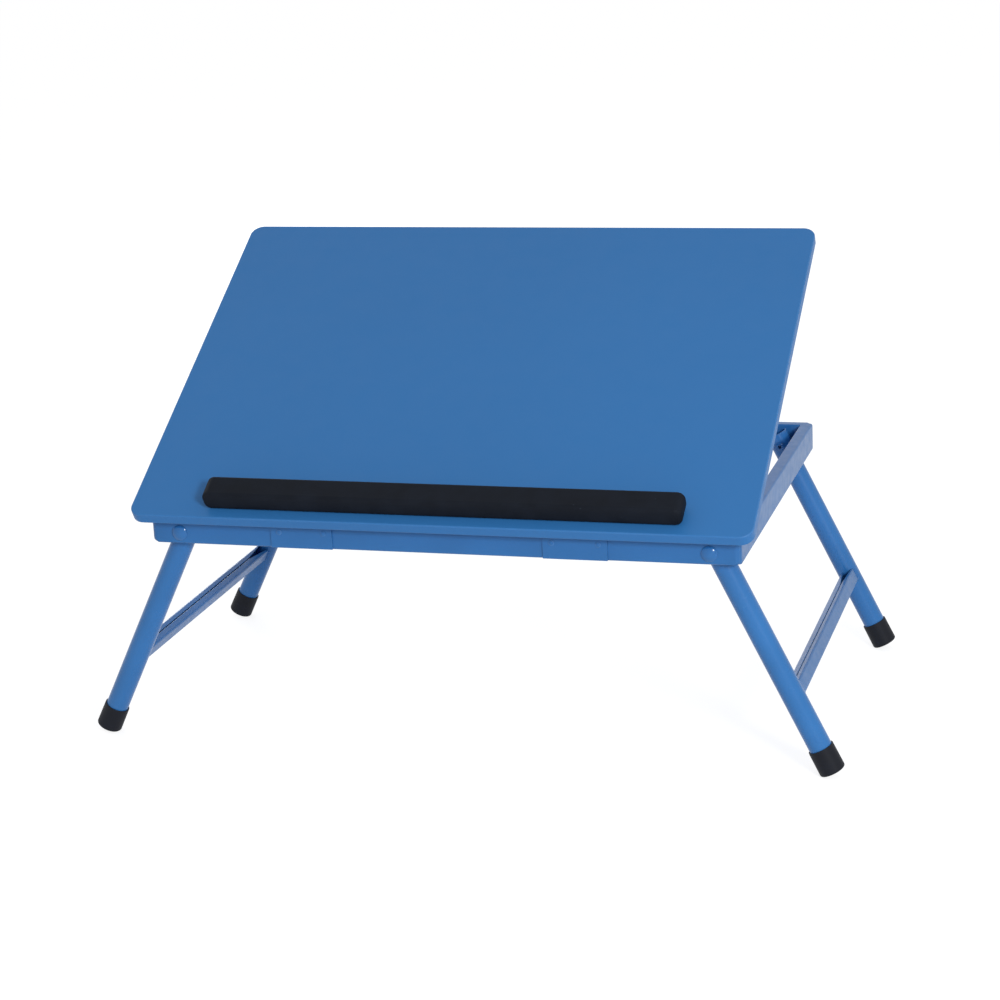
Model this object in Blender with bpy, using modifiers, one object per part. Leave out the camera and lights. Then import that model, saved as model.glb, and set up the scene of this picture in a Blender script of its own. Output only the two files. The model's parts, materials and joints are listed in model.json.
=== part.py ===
"""Folding laptop table: a tilting board hinged on a low steel frame with two fold-in pairs of legs.

Metres, +Z up, front towards -Y. The origin lies on the floor under the middle of the table.
The table is modelled open, with its board raised to its working tilt.
"""
import math

import bmesh
import bpy
from mathutils import Matrix, Vector

# Fits shared by all pieces
GAP = 0.0003
OVERRUN = 0.002
MERGE_DISTANCE = 0.00001

# Board
BOARD_WIDTH = 0.600
BOARD_DEPTH = 0.427
BOARD_THICKNESS = 0.011
BOARD_CORNER_RADIUS = 0.013
BOARD_EDGE_RADIUS = 0.0015
BOARD_TILT = math.radians(29.3)
FRONT_OVERHANG = 0.015
SIDE_OVERHANG = 0.014
REAR_OVERHANG = 0.008

# Stopper bar along the board's front edge
STOPPER_LENGTH = 0.464
STOPPER_DEPTH = 0.025
STOPPER_HEIGHT = 0.020
STOPPER_SETBACK = 0.012
STOPPER_SIDE_SHIFT = 0.004
STOPPER_CORNER_RADIUS = 0.007
STOPPER_EDGE_RADIUS = 0.005
STOPPER_SCREW_END_MARGIN = 0.042
STOPPER_SCREW_RADIUS = 0.0016
STOPPER_SCREW_BITE = 0.009
STOPPER_SCREW_HEAD_RADIUS = 0.0038
STOPPER_SCREW_HEAD_HEIGHT = 0.0021

# Frame of rectangular tube
RAIL_HEIGHT = 0.028
RAIL_THICKNESS = 0.012
RAIL_WALL = 0.0012
RAIL_EDGE_RADIUS = 0.0015

# Legs of round tube, in two pairs
LEG_RADIUS = 0.011
LEG_WALL = 0.0012
LEG_SPLAY = math.radians(26.4)
LEG_REACH = 0.2375
LEG_HEADROOM = 0.0125
PIVOT_HEIGHT = 0.0106

# Rubber feet
FOOT_WALL = 0.0012
FOOT_HEIGHT = 0.0255
FOOT_SOLE = 0.003
FOOT_EDGE_RADIUS = 0.0022

# Crossbars of square tube slotted along the top, between the legs of a pair
CROSSBAR_SIZE = 0.014
CROSSBAR_WALL = 0.0012
CROSSBAR_EDGE_RADIUS = 0.002
CROSSBAR_SLOT = 0.0018
CROSSBAR_SLOT_OUTWARD_SHIFT = 0.0009
CROSSBAR_NOTCH_LENGTH = 0.060
CROSSBAR_NOTCH_WIDTH = 0.0116
CROSSBAR_DROP = 0.1555
CROSSBAR_OUTWARD_SHIFT = 0.0015

# Leg pivot rivets and washers
RIVET_RADIUS = 0.003
RIVET_HEAD_RADIUS = 0.0076
RIVET_HEAD_HEIGHT = 0.003
RIVET_TAIL_RADIUS = 0.0046
RIVET_TAIL_HEIGHT = 0.0016
RIVET_TAIL_BORE = 0.0018
RIVET_TAIL_BORE_DEPTH = 0.004
WASHER_RADIUS = 0.0085
WASHER_THICKNESS = 0.0015

# Butt hinges
HINGE_LENGTH = 0.061
HINGE_SPACING = 0.2653
HINGE_LEAF_THICKNESS = 0.0012
HINGE_LEAF_DEPTH = 0.0255
HINGE_LEAF_HEIGHT = 0.0265
KNUCKLE_RADIUS = 0.0028
KNUCKLE_COUNT = 5
HINGE_PIN_RADIUS = 0.0012
HINGE_FASTENER_SPACING = 0.044
HINGE_RIVET_RADIUS = 0.0014
HINGE_RIVET_HEAD_RADIUS = 0.0027
HINGE_RIVET_HEAD_HEIGHT = 0.0006
HINGE_RIVET_TAIL_HEIGHT = 0.0008
HINGE_RIVET_DROP = 0.0112
HINGE_SCREW_SETBACK = 0.020

# Pan head screws into the board's underside
SCREW_RADIUS = 0.0014
SCREW_LENGTH = 0.008
SCREW_TIP_LENGTH = 0.002
SCREW_HEAD_RADIUS = 0.003
SCREW_HEAD_HEIGHT = 0.0012

# Folding friction stays between the side rails and the board
STAY_PIVOT_DISTANCE = 0.215
STAY_PIVOT_HEIGHT = 0.008
STAY_LINK_LENGTH = 0.155
STAY_LINK_WIDTH = 0.013
STAY_LINK_THICKNESS = 0.0025
STAY_PIN_RADIUS = 0.0025
STAY_HEAD_RADIUS = 0.0048
STAY_HEAD_HEIGHT = 0.0015
STAY_COLLAR_HEIGHT = 0.0018
STAY_ELBOW_PLAY = 0.0007
BRACKET_THICKNESS = 0.002
BRACKET_LENGTH = 0.034
BRACKET_FLANGE = 0.022
BRACKET_EAR_MARGIN = 0.0065
BRACKET_SCREW_SPACING = 0.020

# How finely round shapes are faceted
TUBE_SIDES = 24
PIN_SIDES = 12
SCREW_SIDES = 8
CORNER_STEPS = 5
EDGE_STEPS = 2
SHARP_ANGLE = math.radians(35)

SIDES = {"left": -1, "right": 1}
ENDS = {"front": -1, "back": 1}
QUARTER_TURN = math.pi / 2

# Sizes and places worked out from the values above
FRAME_WIDTH = BOARD_WIDTH - 2 * SIDE_OVERHANG
FRAME_DEPTH = BOARD_DEPTH - FRONT_OVERHANG - REAR_OVERHANG
FOOT_RADIUS = LEG_RADIUS + GAP + FOOT_WALL
HINGE_OFFSET = KNUCKLE_RADIUS + GAP
BOARD_SEAT_HEIGHT = HINGE_LEAF_THICKNESS + 2 * GAP
RAIL_INNER_X = FRAME_WIDTH / 2 - RAIL_THICKNESS

# Each splayed leg leans on the rounded lower inner edge of its side rail.
STOP_REACH = LEG_RADIUS + GAP + RAIL_EDGE_RADIUS
STOP_RISE = (PIVOT_HEIGHT - RAIL_EDGE_RADIUS) * math.sin(LEG_SPLAY)
PIVOT_INSET = (STOP_REACH + STOP_RISE) / math.cos(LEG_SPLAY) - RAIL_EDGE_RADIUS
PIVOT_X = RAIL_INNER_X - PIVOT_INSET
PIVOT_Z = (
    (LEG_REACH - FOOT_EDGE_RADIUS) * math.cos(LEG_SPLAY)
    + (FOOT_RADIUS - FOOT_EDGE_RADIUS) * math.sin(LEG_SPLAY)
    + FOOT_EDGE_RADIUS
)
RAIL_BOTTOM = PIVOT_Z - PIVOT_HEIGHT
RAIL_TOP = RAIL_BOTTOM + RAIL_HEIGHT
RAIL_MIDDLE = RAIL_BOTTOM + RAIL_HEIGHT / 2
LEG_INSET = RAIL_THICKNESS + GAP + WASHER_THICKNESS + GAP + LEG_RADIUS
LEG_SPREAD = FRAME_DEPTH / 2 - LEG_INSET

# The raised board's front edge and the rear rivet heads are the foremost and rearmost points.
FRONT_REACH = (
    HINGE_OFFSET
    + (FRONT_OVERHANG - HINGE_OFFSET - BOARD_EDGE_RADIUS) * math.cos(BOARD_TILT)
    + (BOARD_THICKNESS + HINGE_OFFSET - BOARD_EDGE_RADIUS) * math.sin(BOARD_TILT)
    + BOARD_EDGE_RADIUS
)
REAR_REACH = FRAME_DEPTH + GAP + RIVET_HEAD_HEIGHT
FRAME_FRONT = (FRONT_REACH - REAR_REACH) / 2
FRAME_BACK = FRAME_FRONT + FRAME_DEPTH
FRAME_MIDDLE = FRAME_FRONT + FRAME_DEPTH / 2

# The board's pieces are placed from the hinge axis, along and across the board.
HINGE_AXIS = Vector((0, FRAME_FRONT - HINGE_OFFSET, RAIL_TOP + BOARD_SEAT_HEIGHT - HINGE_OFFSET))
HINGE_RIVET_Z = HINGE_AXIS.z - HINGE_RIVET_DROP
BOARD_FRONT = HINGE_OFFSET - FRONT_OVERHANG
BOARD_TOP = HINGE_OFFSET + BOARD_THICKNESS
STOPPER_MIDDLE = BOARD_FRONT + STOPPER_SETBACK + STOPPER_DEPTH / 2
STOPPER_SCREW_SPACING = STOPPER_LENGTH / 2 - STOPPER_SCREW_END_MARGIN
STOPPER_SCREWS_X = [STOPPER_SIDE_SHIFT + step * STOPPER_SCREW_SPACING for step in (-1, 0, 1)]

# A stay's outer pivots lie at one distance from the hinge axis, so its links close side by side.
STAY_FALL = HINGE_AXIS.z - RAIL_BOTTOM - STAY_PIVOT_HEIGHT
STAY_DIP = math.asin(STAY_FALL / STAY_PIVOT_DISTANCE)
STAY_SETBACK = STAY_PIVOT_DISTANCE * math.cos(STAY_DIP)
STAY_HALF_SPREAD = math.asin(STAY_PIVOT_DISTANCE * math.sin(BOARD_TILT / 2) / STAY_LINK_LENGTH)
STAY_LINK_SWING = STAY_HALF_SPREAD - BOARD_TILT / 2

# Places across a stay, counted inwards from the side rail's inner face
LOWER_LINK_START = GAP + STAY_COLLAR_HEIGHT + GAP
STUD_HEAD_START = LOWER_LINK_START + STAY_LINK_THICKNESS + GAP
PIN_HEAD_START = STUD_HEAD_START + STAY_HEAD_HEIGHT + GAP
UPPER_LINK_START = PIN_HEAD_START + STAY_HEAD_HEIGHT + GAP
BRACKET_START = UPPER_LINK_START + STAY_LINK_THICKNESS + GAP
PIN_TAIL_START = BRACKET_START + BRACKET_THICKNESS + GAP
BRACKET_SCREW_INSET = BRACKET_START + (BRACKET_FLANGE + BRACKET_THICKNESS) / 2


def clear_scene():
    """Remove what the scene holds before the table is built."""
    for item in list(bpy.data.objects):
        bpy.data.objects.remove(item, do_unlink=True)


def new_collection(name):
    """Return an empty collection linked to the scene."""
    collection = bpy.data.collections.new(name)
    bpy.context.scene.collection.children.link(collection)
    return collection


def finish(name, colour, roughness, metallic):
    """Return a material with one plain surface."""
    material = bpy.data.materials.new(name)
    material.use_nodes = True
    shader = material.node_tree.nodes["Principled BSDF"]
    shader.inputs["Base Color"].default_value = (*colour, 1)
    shader.inputs["Roughness"].default_value = roughness
    shader.inputs["Metallic"].default_value = metallic
    return material


def joint_axis(name, location, turn=(0, 0, 0), parent=None):
    """Return an empty that carries the pieces which turn about one axis."""
    axis = bpy.data.objects.new(name, None)
    axis.location = location
    axis.rotation_euler = turn
    axis.empty_display_size = RAIL_HEIGHT
    axis.parent = parent
    bpy.context.scene.collection.objects.link(axis)
    return axis


def mesh_from(shape):
    """Return a mesh with what a bmesh holds, its faces turned outwards."""
    bmesh.ops.recalc_face_normals(shape, faces=shape.faces)
    mesh = bpy.data.meshes.new("shape")
    shape.to_mesh(mesh)
    shape.free()
    return mesh


def evaluated_mesh(item):
    """Return the welded mesh of a temporary object with its modifiers, and remove the object."""
    graph = bpy.context.evaluated_depsgraph_get()
    graph.update()
    mesh = bpy.data.meshes.new_from_object(item.evaluated_get(graph))
    bpy.data.objects.remove(item, do_unlink=True)
    shape = bmesh.new()
    shape.from_mesh(mesh)
    bmesh.ops.remove_doubles(shape, verts=shape.verts, dist=MERGE_DISTANCE)
    return mesh_from(shape)


def add_piece(name, mesh, material, table, parent=None, location=(0, 0, 0), turn=(0, 0, 0)):
    """Add a named piece to the table's collection, placed in its parent's frame."""
    mesh.name = name
    mesh.materials.clear()
    mesh.materials.append(material)
    mesh.shade_smooth()
    mesh.set_sharp_from_angle(angle=SHARP_ANGLE)
    piece = bpy.data.objects.new(name, mesh)
    piece.parent = parent
    piece.location = location
    piece.rotation_euler = turn
    table.objects.link(piece)
    return piece


def add_cut(piece, suffix, mesh, cutters):
    """Cut a piece by a hidden mesh given in the piece's own frame."""
    cutter = bpy.data.objects.new(piece.name + suffix, mesh)
    cutter.parent = piece.parent
    cutter.location = piece.location
    cutter.rotation_euler = piece.rotation_euler
    cutter.hide_render = True
    cutter.display_type = "WIRE"
    cutters.objects.link(cutter)
    modifier = piece.modifiers.new(cutter.name, "BOOLEAN")
    modifier.operation = "DIFFERENCE"
    modifier.object = cutter
    modifier.solver = "EXACT"


def rods(places, radius, sides):
    """Return one mesh of solid round rods, each from a start to an end point."""
    shape = bmesh.new()
    for start, end in places:
        run = Vector(end) - Vector(start)
        turn = run.to_track_quat("Z", "Y").to_matrix().to_4x4()
        bmesh.ops.create_cone(
            shape, cap_ends=True, segments=sides, radius1=radius, radius2=radius,
            depth=run.length, matrix=Matrix.Translation(Vector(start) + run / 2) @ turn,
        )
    return mesh_from(shape)


def turned(profile, sides, closed=False):
    """Return a solid turned about Z from (radius, height) points, listed down its outer side."""
    edges = [(index, index + 1) for index in range(len(profile) - 1)]
    if closed:
        edges.append((len(profile) - 1, 0))
    mesh = bpy.data.meshes.new("profile")
    mesh.from_pydata([(radius, 0, height) for radius, height in profile], edges, [])
    item = bpy.data.objects.new("profile", mesh)
    bpy.context.scene.collection.objects.link(item)
    screw = item.modifiers.new("turn", "SCREW")
    screw.axis = "Z"
    screw.steps = sides
    screw.render_steps = sides
    screw.use_merge_vertices = True
    screw.merge_threshold = MERGE_DISTANCE
    return evaluated_mesh(item)


def tube(outer_radius, inner_radius, top, bottom, sides):
    """Return an open-ended round tube along Z."""
    profile = [(outer_radius, top), (outer_radius, bottom), (inner_radius, bottom), (inner_radius, top)]
    return turned(profile, sides, closed=True)


def arc(centre, radius, start, end, steps):
    """Return points on a circle from one angle to another."""
    angles = [start + (end - start) * index / steps for index in range(steps + 1)]
    return [(centre[0] + radius * math.cos(a), centre[1] + radius * math.sin(a)) for a in angles]


def dome(radius, height, base, steps):
    """Return the profile of a domed head, from its crown down to its rim at a base height."""
    sphere = (radius ** 2 + height ** 2) / (2 * height)
    crown = [(0, base + height)]
    centre = (0, base + height - sphere)
    return crown + arc(centre, sphere, QUARTER_TURN, math.acos(radius / sphere), steps)[1:]


def rounded_rectangle(width, depth, radius, steps):
    """Return the outline of a rectangle with rounded corners."""
    reach_x, reach_y = width / 2 - radius, depth / 2 - radius
    points = []
    for index, (side_x, side_y) in enumerate(((1, 1), (-1, 1), (-1, -1), (1, -1))):
        start = index * QUARTER_TURN
        points += arc((side_x * reach_x, side_y * reach_y), radius, start, start + QUARTER_TURN, steps)
    return points


def circle(radius, sides, centre=(0, 0)):
    """Return the outline of a round hole."""
    return arc(centre, radius, 0, 4 * QUARTER_TURN, sides)[:-1]


def plate(outlines, thickness):
    """Return a flat plate centred on the XY plane, from its outer outline and then its holes."""
    curve = bpy.data.curves.new("outline", "CURVE")
    curve.dimensions = "2D"
    curve.fill_mode = "BOTH"
    curve.extrude = thickness / 2
    for outline in outlines:
        spline = curve.splines.new("POLY")
        spline.points.add(len(outline) - 1)
        for point, (across, along) in zip(spline.points, outline):
            point.co = (across, along, 0, 1)
        spline.use_cyclic_u = True
    item = bpy.data.objects.new("outline", curve)
    bpy.context.scene.collection.objects.link(item)
    return evaluated_mesh(item)


def round_over(mesh, radius, steps, height):
    """Round the outer edge of a plate where its side meets the face at a height."""
    shape = bmesh.new()
    shape.from_mesh(mesh)
    rim = [
        edge for edge in shape.edges
        if all(abs(vert.co.z - height) < MERGE_DISTANCE for vert in edge.verts)
        and edge.calc_face_angle() > SHARP_ANGLE
    ]
    bmesh.ops.bevel(shape, geom=rim, offset=radius, segments=steps, profile=0.5, affect="EDGES")
    return mesh_from(shape)


def hinge_fasteners():
    """Return the X place of each hinge fastener by its side and number."""
    return {
        (side_name, number): side * HINGE_SPACING / 2 + end * HINGE_FASTENER_SPACING / 2
        for side_name, side in SIDES.items()
        for number, end in enumerate(ENDS.values(), 1)
    }


def bracket_fasteners():
    """Return the place of each bracket screw on the board by its side and number."""
    return {
        (side_name, number): (
            side * (RAIL_INNER_X - BRACKET_SCREW_INSET), STAY_SETBACK + end * BRACKET_SCREW_SPACING / 2
        )
        for side_name, side in SIDES.items()
        for number, end in enumerate(ENDS.values(), 1)
    }


def make_board(table, cutters, paint, board_axis):
    """Build the board with rounded corners, softened edges and screw holes."""
    outline = rounded_rectangle(BOARD_WIDTH, BOARD_DEPTH, BOARD_CORNER_RADIUS, CORNER_STEPS)
    mesh = plate([outline], BOARD_THICKNESS)
    for face in ENDS.values():
        mesh = round_over(mesh, BOARD_EDGE_RADIUS, EDGE_STEPS, face * BOARD_THICKNESS / 2)
    centre = (0, BOARD_FRONT + BOARD_DEPTH / 2, HINGE_OFFSET + BOARD_THICKNESS / 2)
    mesh.transform(Matrix.Translation(centre))
    board = add_piece("board", mesh, paint, table, board_axis)

    under = HINGE_OFFSET - OVERRUN
    pilot_top = HINGE_OFFSET + SCREW_LENGTH + GAP
    places = [(x, HINGE_SCREW_SETBACK) for x in hinge_fasteners().values()]
    places += bracket_fasteners().values()
    pilots = [((x, y, under), (x, y, pilot_top)) for x, y in places]
    add_cut(board, "_pilots", rods(pilots, SCREW_RADIUS + GAP, SCREW_SIDES), cutters)
    through = [
        ((x, STOPPER_MIDDLE, under), (x, STOPPER_MIDDLE, BOARD_TOP + OVERRUN)) for x in STOPPER_SCREWS_X
    ]
    add_cut(board, "_holes", rods(through, STOPPER_SCREW_RADIUS + GAP, SCREW_SIDES), cutters)
    seat_top = HINGE_OFFSET + STOPPER_SCREW_HEAD_HEIGHT + 2 * GAP
    seats = [((x, STOPPER_MIDDLE, under), (x, STOPPER_MIDDLE, seat_top)) for x in STOPPER_SCREWS_X]
    add_cut(board, "_seats", rods(seats, STOPPER_SCREW_HEAD_RADIUS + GAP, SCREW_SIDES), cutters)


def make_stopper(table, cutters, looks, board_axis):
    """Build the soft-edged stopper bar and the sunk screws that hold it from under the board."""
    outline = rounded_rectangle(STOPPER_LENGTH, STOPPER_DEPTH, STOPPER_CORNER_RADIUS, CORNER_STEPS)
    mesh = plate([outline], STOPPER_HEIGHT)
    mesh = round_over(mesh, STOPPER_EDGE_RADIUS, CORNER_STEPS, STOPPER_HEIGHT / 2)
    place = (STOPPER_SIDE_SHIFT, STOPPER_MIDDLE, BOARD_TOP + GAP + STOPPER_HEIGHT / 2)
    bar = add_piece("stopper_bar", mesh, looks["black_rubber"], table, board_axis, place)
    base = -STOPPER_HEIGHT / 2
    bites = [
        ((x - STOPPER_SIDE_SHIFT, 0, base - OVERRUN), (x - STOPPER_SIDE_SHIFT, 0, base + STOPPER_SCREW_BITE))
        for x in STOPPER_SCREWS_X
    ]
    add_cut(bar, "_bites", rods(bites, STOPPER_SCREW_RADIUS + GAP, SCREW_SIDES), cutters)

    head_base = HINGE_OFFSET + GAP
    tip = BOARD_TOP + STOPPER_SCREW_BITE
    profile = [
        (0, tip), (STOPPER_SCREW_RADIUS, tip - SCREW_TIP_LENGTH),
        (STOPPER_SCREW_RADIUS, head_base + STOPPER_SCREW_HEAD_HEIGHT),
        (STOPPER_SCREW_HEAD_RADIUS, head_base), (0, head_base),
    ]
    screw = turned(profile, SCREW_SIDES)
    for number, x in enumerate(STOPPER_SCREWS_X, 1):
        name = "stopper_screw_" + str(number)
        add_piece(name, screw, looks["zinc_steel"], table, board_axis, (x, STOPPER_MIDDLE, 0))


def pan_head_screw(grip):
    """Return an upright screw whose head lies under a plate of a given grip below height zero."""
    head_top = -grip - GAP
    profile = [
        (0, SCREW_LENGTH), (SCREW_RADIUS, SCREW_LENGTH - SCREW_TIP_LENGTH), (SCREW_RADIUS, head_top),
    ]
    head = dome(SCREW_HEAD_RADIUS, SCREW_HEAD_HEIGHT, 0, EDGE_STEPS)
    profile += [(radius, head_top - height) for radius, height in reversed(head)]
    return turned(profile, SCREW_SIDES)


def make_board_screws(table, zinc, board_axis):
    """Build the screws that hold the hinges and the stay brackets to the board's underside."""
    screw = pan_head_screw(GAP + HINGE_LEAF_THICKNESS)
    for (side_name, number), x in hinge_fasteners().items():
        name = side_name + "_hinge_screw_" + str(number)
        add_piece(name, screw, zinc, table, board_axis, (x, HINGE_SCREW_SETBACK, HINGE_OFFSET))
    screw = pan_head_screw(GAP + BRACKET_THICKNESS)
    for (side_name, number), (x, y) in bracket_fasteners().items():
        name = side_name + "_bracket_screw_" + str(number)
        add_piece(name, screw, zinc, table, board_axis, (x, y, HINGE_OFFSET))


def rail_mesh(length):
    """Return a rectangular tube along X with mitred ends, its outer face towards -Y."""
    outer = rounded_rectangle(RAIL_THICKNESS, RAIL_HEIGHT, RAIL_EDGE_RADIUS, EDGE_STEPS)
    bore = (RAIL_THICKNESS - 2 * RAIL_WALL, RAIL_HEIGHT - 2 * RAIL_WALL)
    inner = rounded_rectangle(*bore, RAIL_EDGE_RADIUS - RAIL_WALL, 1)
    mesh = plate([outer, inner], length)
    mesh.transform(Matrix.Rotation(QUARTER_TURN, 4, "Z") @ Matrix.Rotation(QUARTER_TURN, 4, "X"))
    for vert in mesh.vertices:
        setback = vert.co.y + RAIL_THICKNESS / 2 + GAP / math.sqrt(2)
        vert.co.x -= math.copysign(setback, vert.co.x)
    return mesh


def make_rails(table, cutters, paint):
    """Build the four mitred rails of the frame, with holes for the leg and hinge rivets."""
    wide, deep = rail_mesh(FRAME_WIDTH), rail_mesh(FRAME_DEPTH)
    half = RAIL_THICKNESS / 2
    height = PIVOT_Z - RAIL_MIDDLE
    pivots = [
        ((side * PIVOT_X, -half - OVERRUN, height), (side * PIVOT_X, half + OVERRUN, height))
        for side in SIDES.values()
    ]
    front = add_piece("front_rail", wide, paint, table, None, (0, FRAME_FRONT + half, RAIL_MIDDLE))
    about = (0, 0, 2 * QUARTER_TURN)
    back = add_piece("back_rail", wide, paint, table, None, (0, FRAME_BACK - half, RAIL_MIDDLE), about)
    for rail in (front, back):
        add_cut(rail, "_pivot_holes", rods(pivots, RIVET_RADIUS + GAP, PIN_SIDES), cutters)
    height = HINGE_RIVET_Z - RAIL_MIDDLE
    holes = [
        ((x, -half - OVERRUN, height), (x, RAIL_WALL + OVERRUN - half, height))
        for x in hinge_fasteners().values()
    ]
    add_cut(front, "_hinge_holes", rods(holes, HINGE_RIVET_RADIUS + GAP, SCREW_SIDES), cutters)
    for side_name, side in SIDES.items():
        place = (side * (FRAME_WIDTH / 2 - half), FRAME_MIDDLE, RAIL_MIDDLE)
        add_piece(side_name + "_side_rail", deep, paint, table, None, place, (0, 0, side * QUARTER_TURN))


def leg_rivet_mesh():
    """Return a leg rivet along Z, its head above height zero and its tail beyond the leg."""
    tail_top = -(LEG_INSET + LEG_RADIUS + GAP)
    tail_base = tail_top - RIVET_TAIL_HEIGHT
    profile = dome(RIVET_HEAD_RADIUS, RIVET_HEAD_HEIGHT, GAP, CORNER_STEPS) + [
        (RIVET_RADIUS, GAP), (RIVET_RADIUS, tail_top), (RIVET_TAIL_RADIUS, tail_top),
        (RIVET_TAIL_RADIUS, (tail_top + tail_base) / 2), (RIVET_RADIUS, tail_base),
        (RIVET_TAIL_BORE, tail_base), (RIVET_TAIL_BORE, tail_base + RIVET_TAIL_BORE_DEPTH),
        (0, tail_base + RIVET_TAIL_BORE_DEPTH),
    ]
    return turned(profile, PIN_SIDES)


def make_leg_pivots(table, paint, zinc):
    """Build the domed rivets that the legs turn on, and the washers between the legs and the rails."""
    rivet = leg_rivet_mesh()
    washer_top = -(RAIL_THICKNESS + GAP)
    washer = tube(WASHER_RADIUS, RIVET_RADIUS + GAP, washer_top, washer_top - WASHER_THICKNESS, PIN_SIDES)
    for end_name, end in ENDS.items():
        for side_name, side in SIDES.items():
            name = end_name + "_" + side_name
            place = (side * PIVOT_X, FRAME_MIDDLE + end * FRAME_DEPTH / 2, PIVOT_Z)
            outwards = (-end * QUARTER_TURN, 0, 0)
            add_piece(name + "_leg_rivet", rivet, paint, table, None, place, outwards)
            add_piece(name + "_leg_washer", washer, zinc, table, None, place, outwards)


def foot_mesh():
    """Return the rubber cap of a leg, seen from the leg's pivot."""
    sole = -LEG_REACH
    seat = sole + FOOT_SOLE
    rim = sole + FOOT_HEIGHT
    inner = LEG_RADIUS + GAP
    centre = (FOOT_RADIUS - FOOT_EDGE_RADIUS, sole + FOOT_EDGE_RADIUS)
    edge = arc(centre, FOOT_EDGE_RADIUS, 0, -QUARTER_TURN, 2 * EDGE_STEPS)
    profile = [(0, seat), (inner, seat), (inner, rim), (FOOT_RADIUS, rim)] + edge + [(0, sole)]
    return turned(profile, TUBE_SIDES)


def crossbar_outline(slot_middle):
    """Return the crossbar's square section, slotted along its top."""
    half, edge = CROSSBAR_SIZE / 2, CROSSBAR_EDGE_RADIUS
    reach, seam = half - edge, half - CROSSBAR_WALL
    corners = ((-reach, reach), (-reach, -reach), (reach, -reach), (reach, reach))
    outer, inner = [], []
    for index, corner in enumerate(corners, 1):
        first, last = index * QUARTER_TURN, (index + 1) * QUARTER_TURN
        outer += arc(corner, edge, first, last, EDGE_STEPS)
        inner += arc(corner, edge - CROSSBAR_WALL, first, last, 1)
    left, right = slot_middle - CROSSBAR_SLOT / 2, slot_middle + CROSSBAR_SLOT / 2
    return [(left, half)] + outer + [(right, half), (right, seam)] + inner[::-1] + [(left, seam)]


def crossbar_notch(slot_middle):
    """Return the wedge that opens the slot towards the back leg."""
    corners = [
        (slot_middle, LEG_SPREAD - CROSSBAR_NOTCH_LENGTH),
        (CROSSBAR_NOTCH_WIDTH / 2, LEG_SPREAD), (-CROSSBAR_NOTCH_WIDTH / 2, LEG_SPREAD),
    ]
    wedge = plate([corners], 2 * CROSSBAR_WALL)
    wedge.transform(Matrix.Translation((0, 0, (CROSSBAR_SIZE - CROSSBAR_WALL) / 2)))
    return wedge


def make_leg_pairs(table, cutters, looks):
    """Build both pairs of legs with their crossbars and feet, each about its fold axis."""
    leg_mesh = tube(LEG_RADIUS, LEG_RADIUS - LEG_WALL, LEG_HEADROOM, FOOT_SOLE + GAP - LEG_REACH, TUBE_SIDES)
    cap_mesh = foot_mesh()
    reach = LEG_RADIUS + OVERRUN
    bore = [((0, -reach, 0), (0, reach, 0))]
    for side_name, side in SIDES.items():
        pivot = (side * PIVOT_X, FRAME_MIDDLE, PIVOT_Z)
        fold_axis = joint_axis(side_name + "_leg_fold_axis", pivot, (0, -side * LEG_SPLAY, 0))
        for end_name, end in ENDS.items():
            name = end_name + "_" + side_name
            place = (0, end * LEG_SPREAD, 0)
            leg = add_piece(name + "_leg", leg_mesh, looks["frame_paint"], table, fold_axis, place)
            add_cut(leg, "_bore", rods(bore, RIVET_RADIUS + GAP, PIN_SIDES), cutters)
            add_piece(name + "_foot", cap_mesh, looks["black_rubber"], table, fold_axis, place)
        shift, slot_middle = side * CROSSBAR_OUTWARD_SHIFT, side * CROSSBAR_SLOT_OUTWARD_SHIFT
        bar_mesh = plate([crossbar_outline(slot_middle)], 2 * LEG_SPREAD)
        bar_mesh.transform(Matrix.Rotation(QUARTER_TURN, 4, "X"))
        place = (shift, 0, -CROSSBAR_DROP)
        bar = add_piece(side_name + "_crossbar", bar_mesh, looks["frame_paint"], table, fold_axis, place)
        seats = [
            ((-shift, end * LEG_SPREAD, -CROSSBAR_SIZE), (-shift, end * LEG_SPREAD, CROSSBAR_SIZE))
            for end in ENDS.values()
        ]
        add_cut(bar, "_seats", rods(seats, LEG_RADIUS + GAP, TUBE_SIDES), cutters)
        add_cut(bar, "_notch", crossbar_notch(slot_middle), cutters)


def knuckle_clearances(first):
    """Return the ends of every second knuckle from a first one, with the gap beside it."""
    pitch = (HINGE_LENGTH + GAP) / KNUCKLE_COUNT
    starts = [index * pitch - HINGE_LENGTH / 2 for index in range(first, KNUCKLE_COUNT, 2)]
    return [((start - GAP, 0, 0), (start + pitch, 0, 0)) for start in starts]


def leaf_mesh(depth):
    """Return a hinge leaf with a full-length knuckle about X, its plate towards -Y."""
    plate_base = KNUCKLE_RADIUS - HINGE_LEAF_THICKNESS
    start = 2 * QUARTER_TURN - math.asin(plate_base / KNUCKLE_RADIUS)
    outline = [(-depth, plate_base)]
    outline += arc((0, 0), KNUCKLE_RADIUS, start, 5 * QUARTER_TURN, PIN_SIDES)
    outline += [(-depth, KNUCKLE_RADIUS)]
    mesh = plate([outline, circle(HINGE_PIN_RADIUS + GAP, SCREW_SIDES)], HINGE_LENGTH)
    mesh.transform(Matrix.Rotation(QUARTER_TURN, 4, "Z") @ Matrix.Rotation(QUARTER_TURN, 4, "X"))
    return mesh


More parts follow.
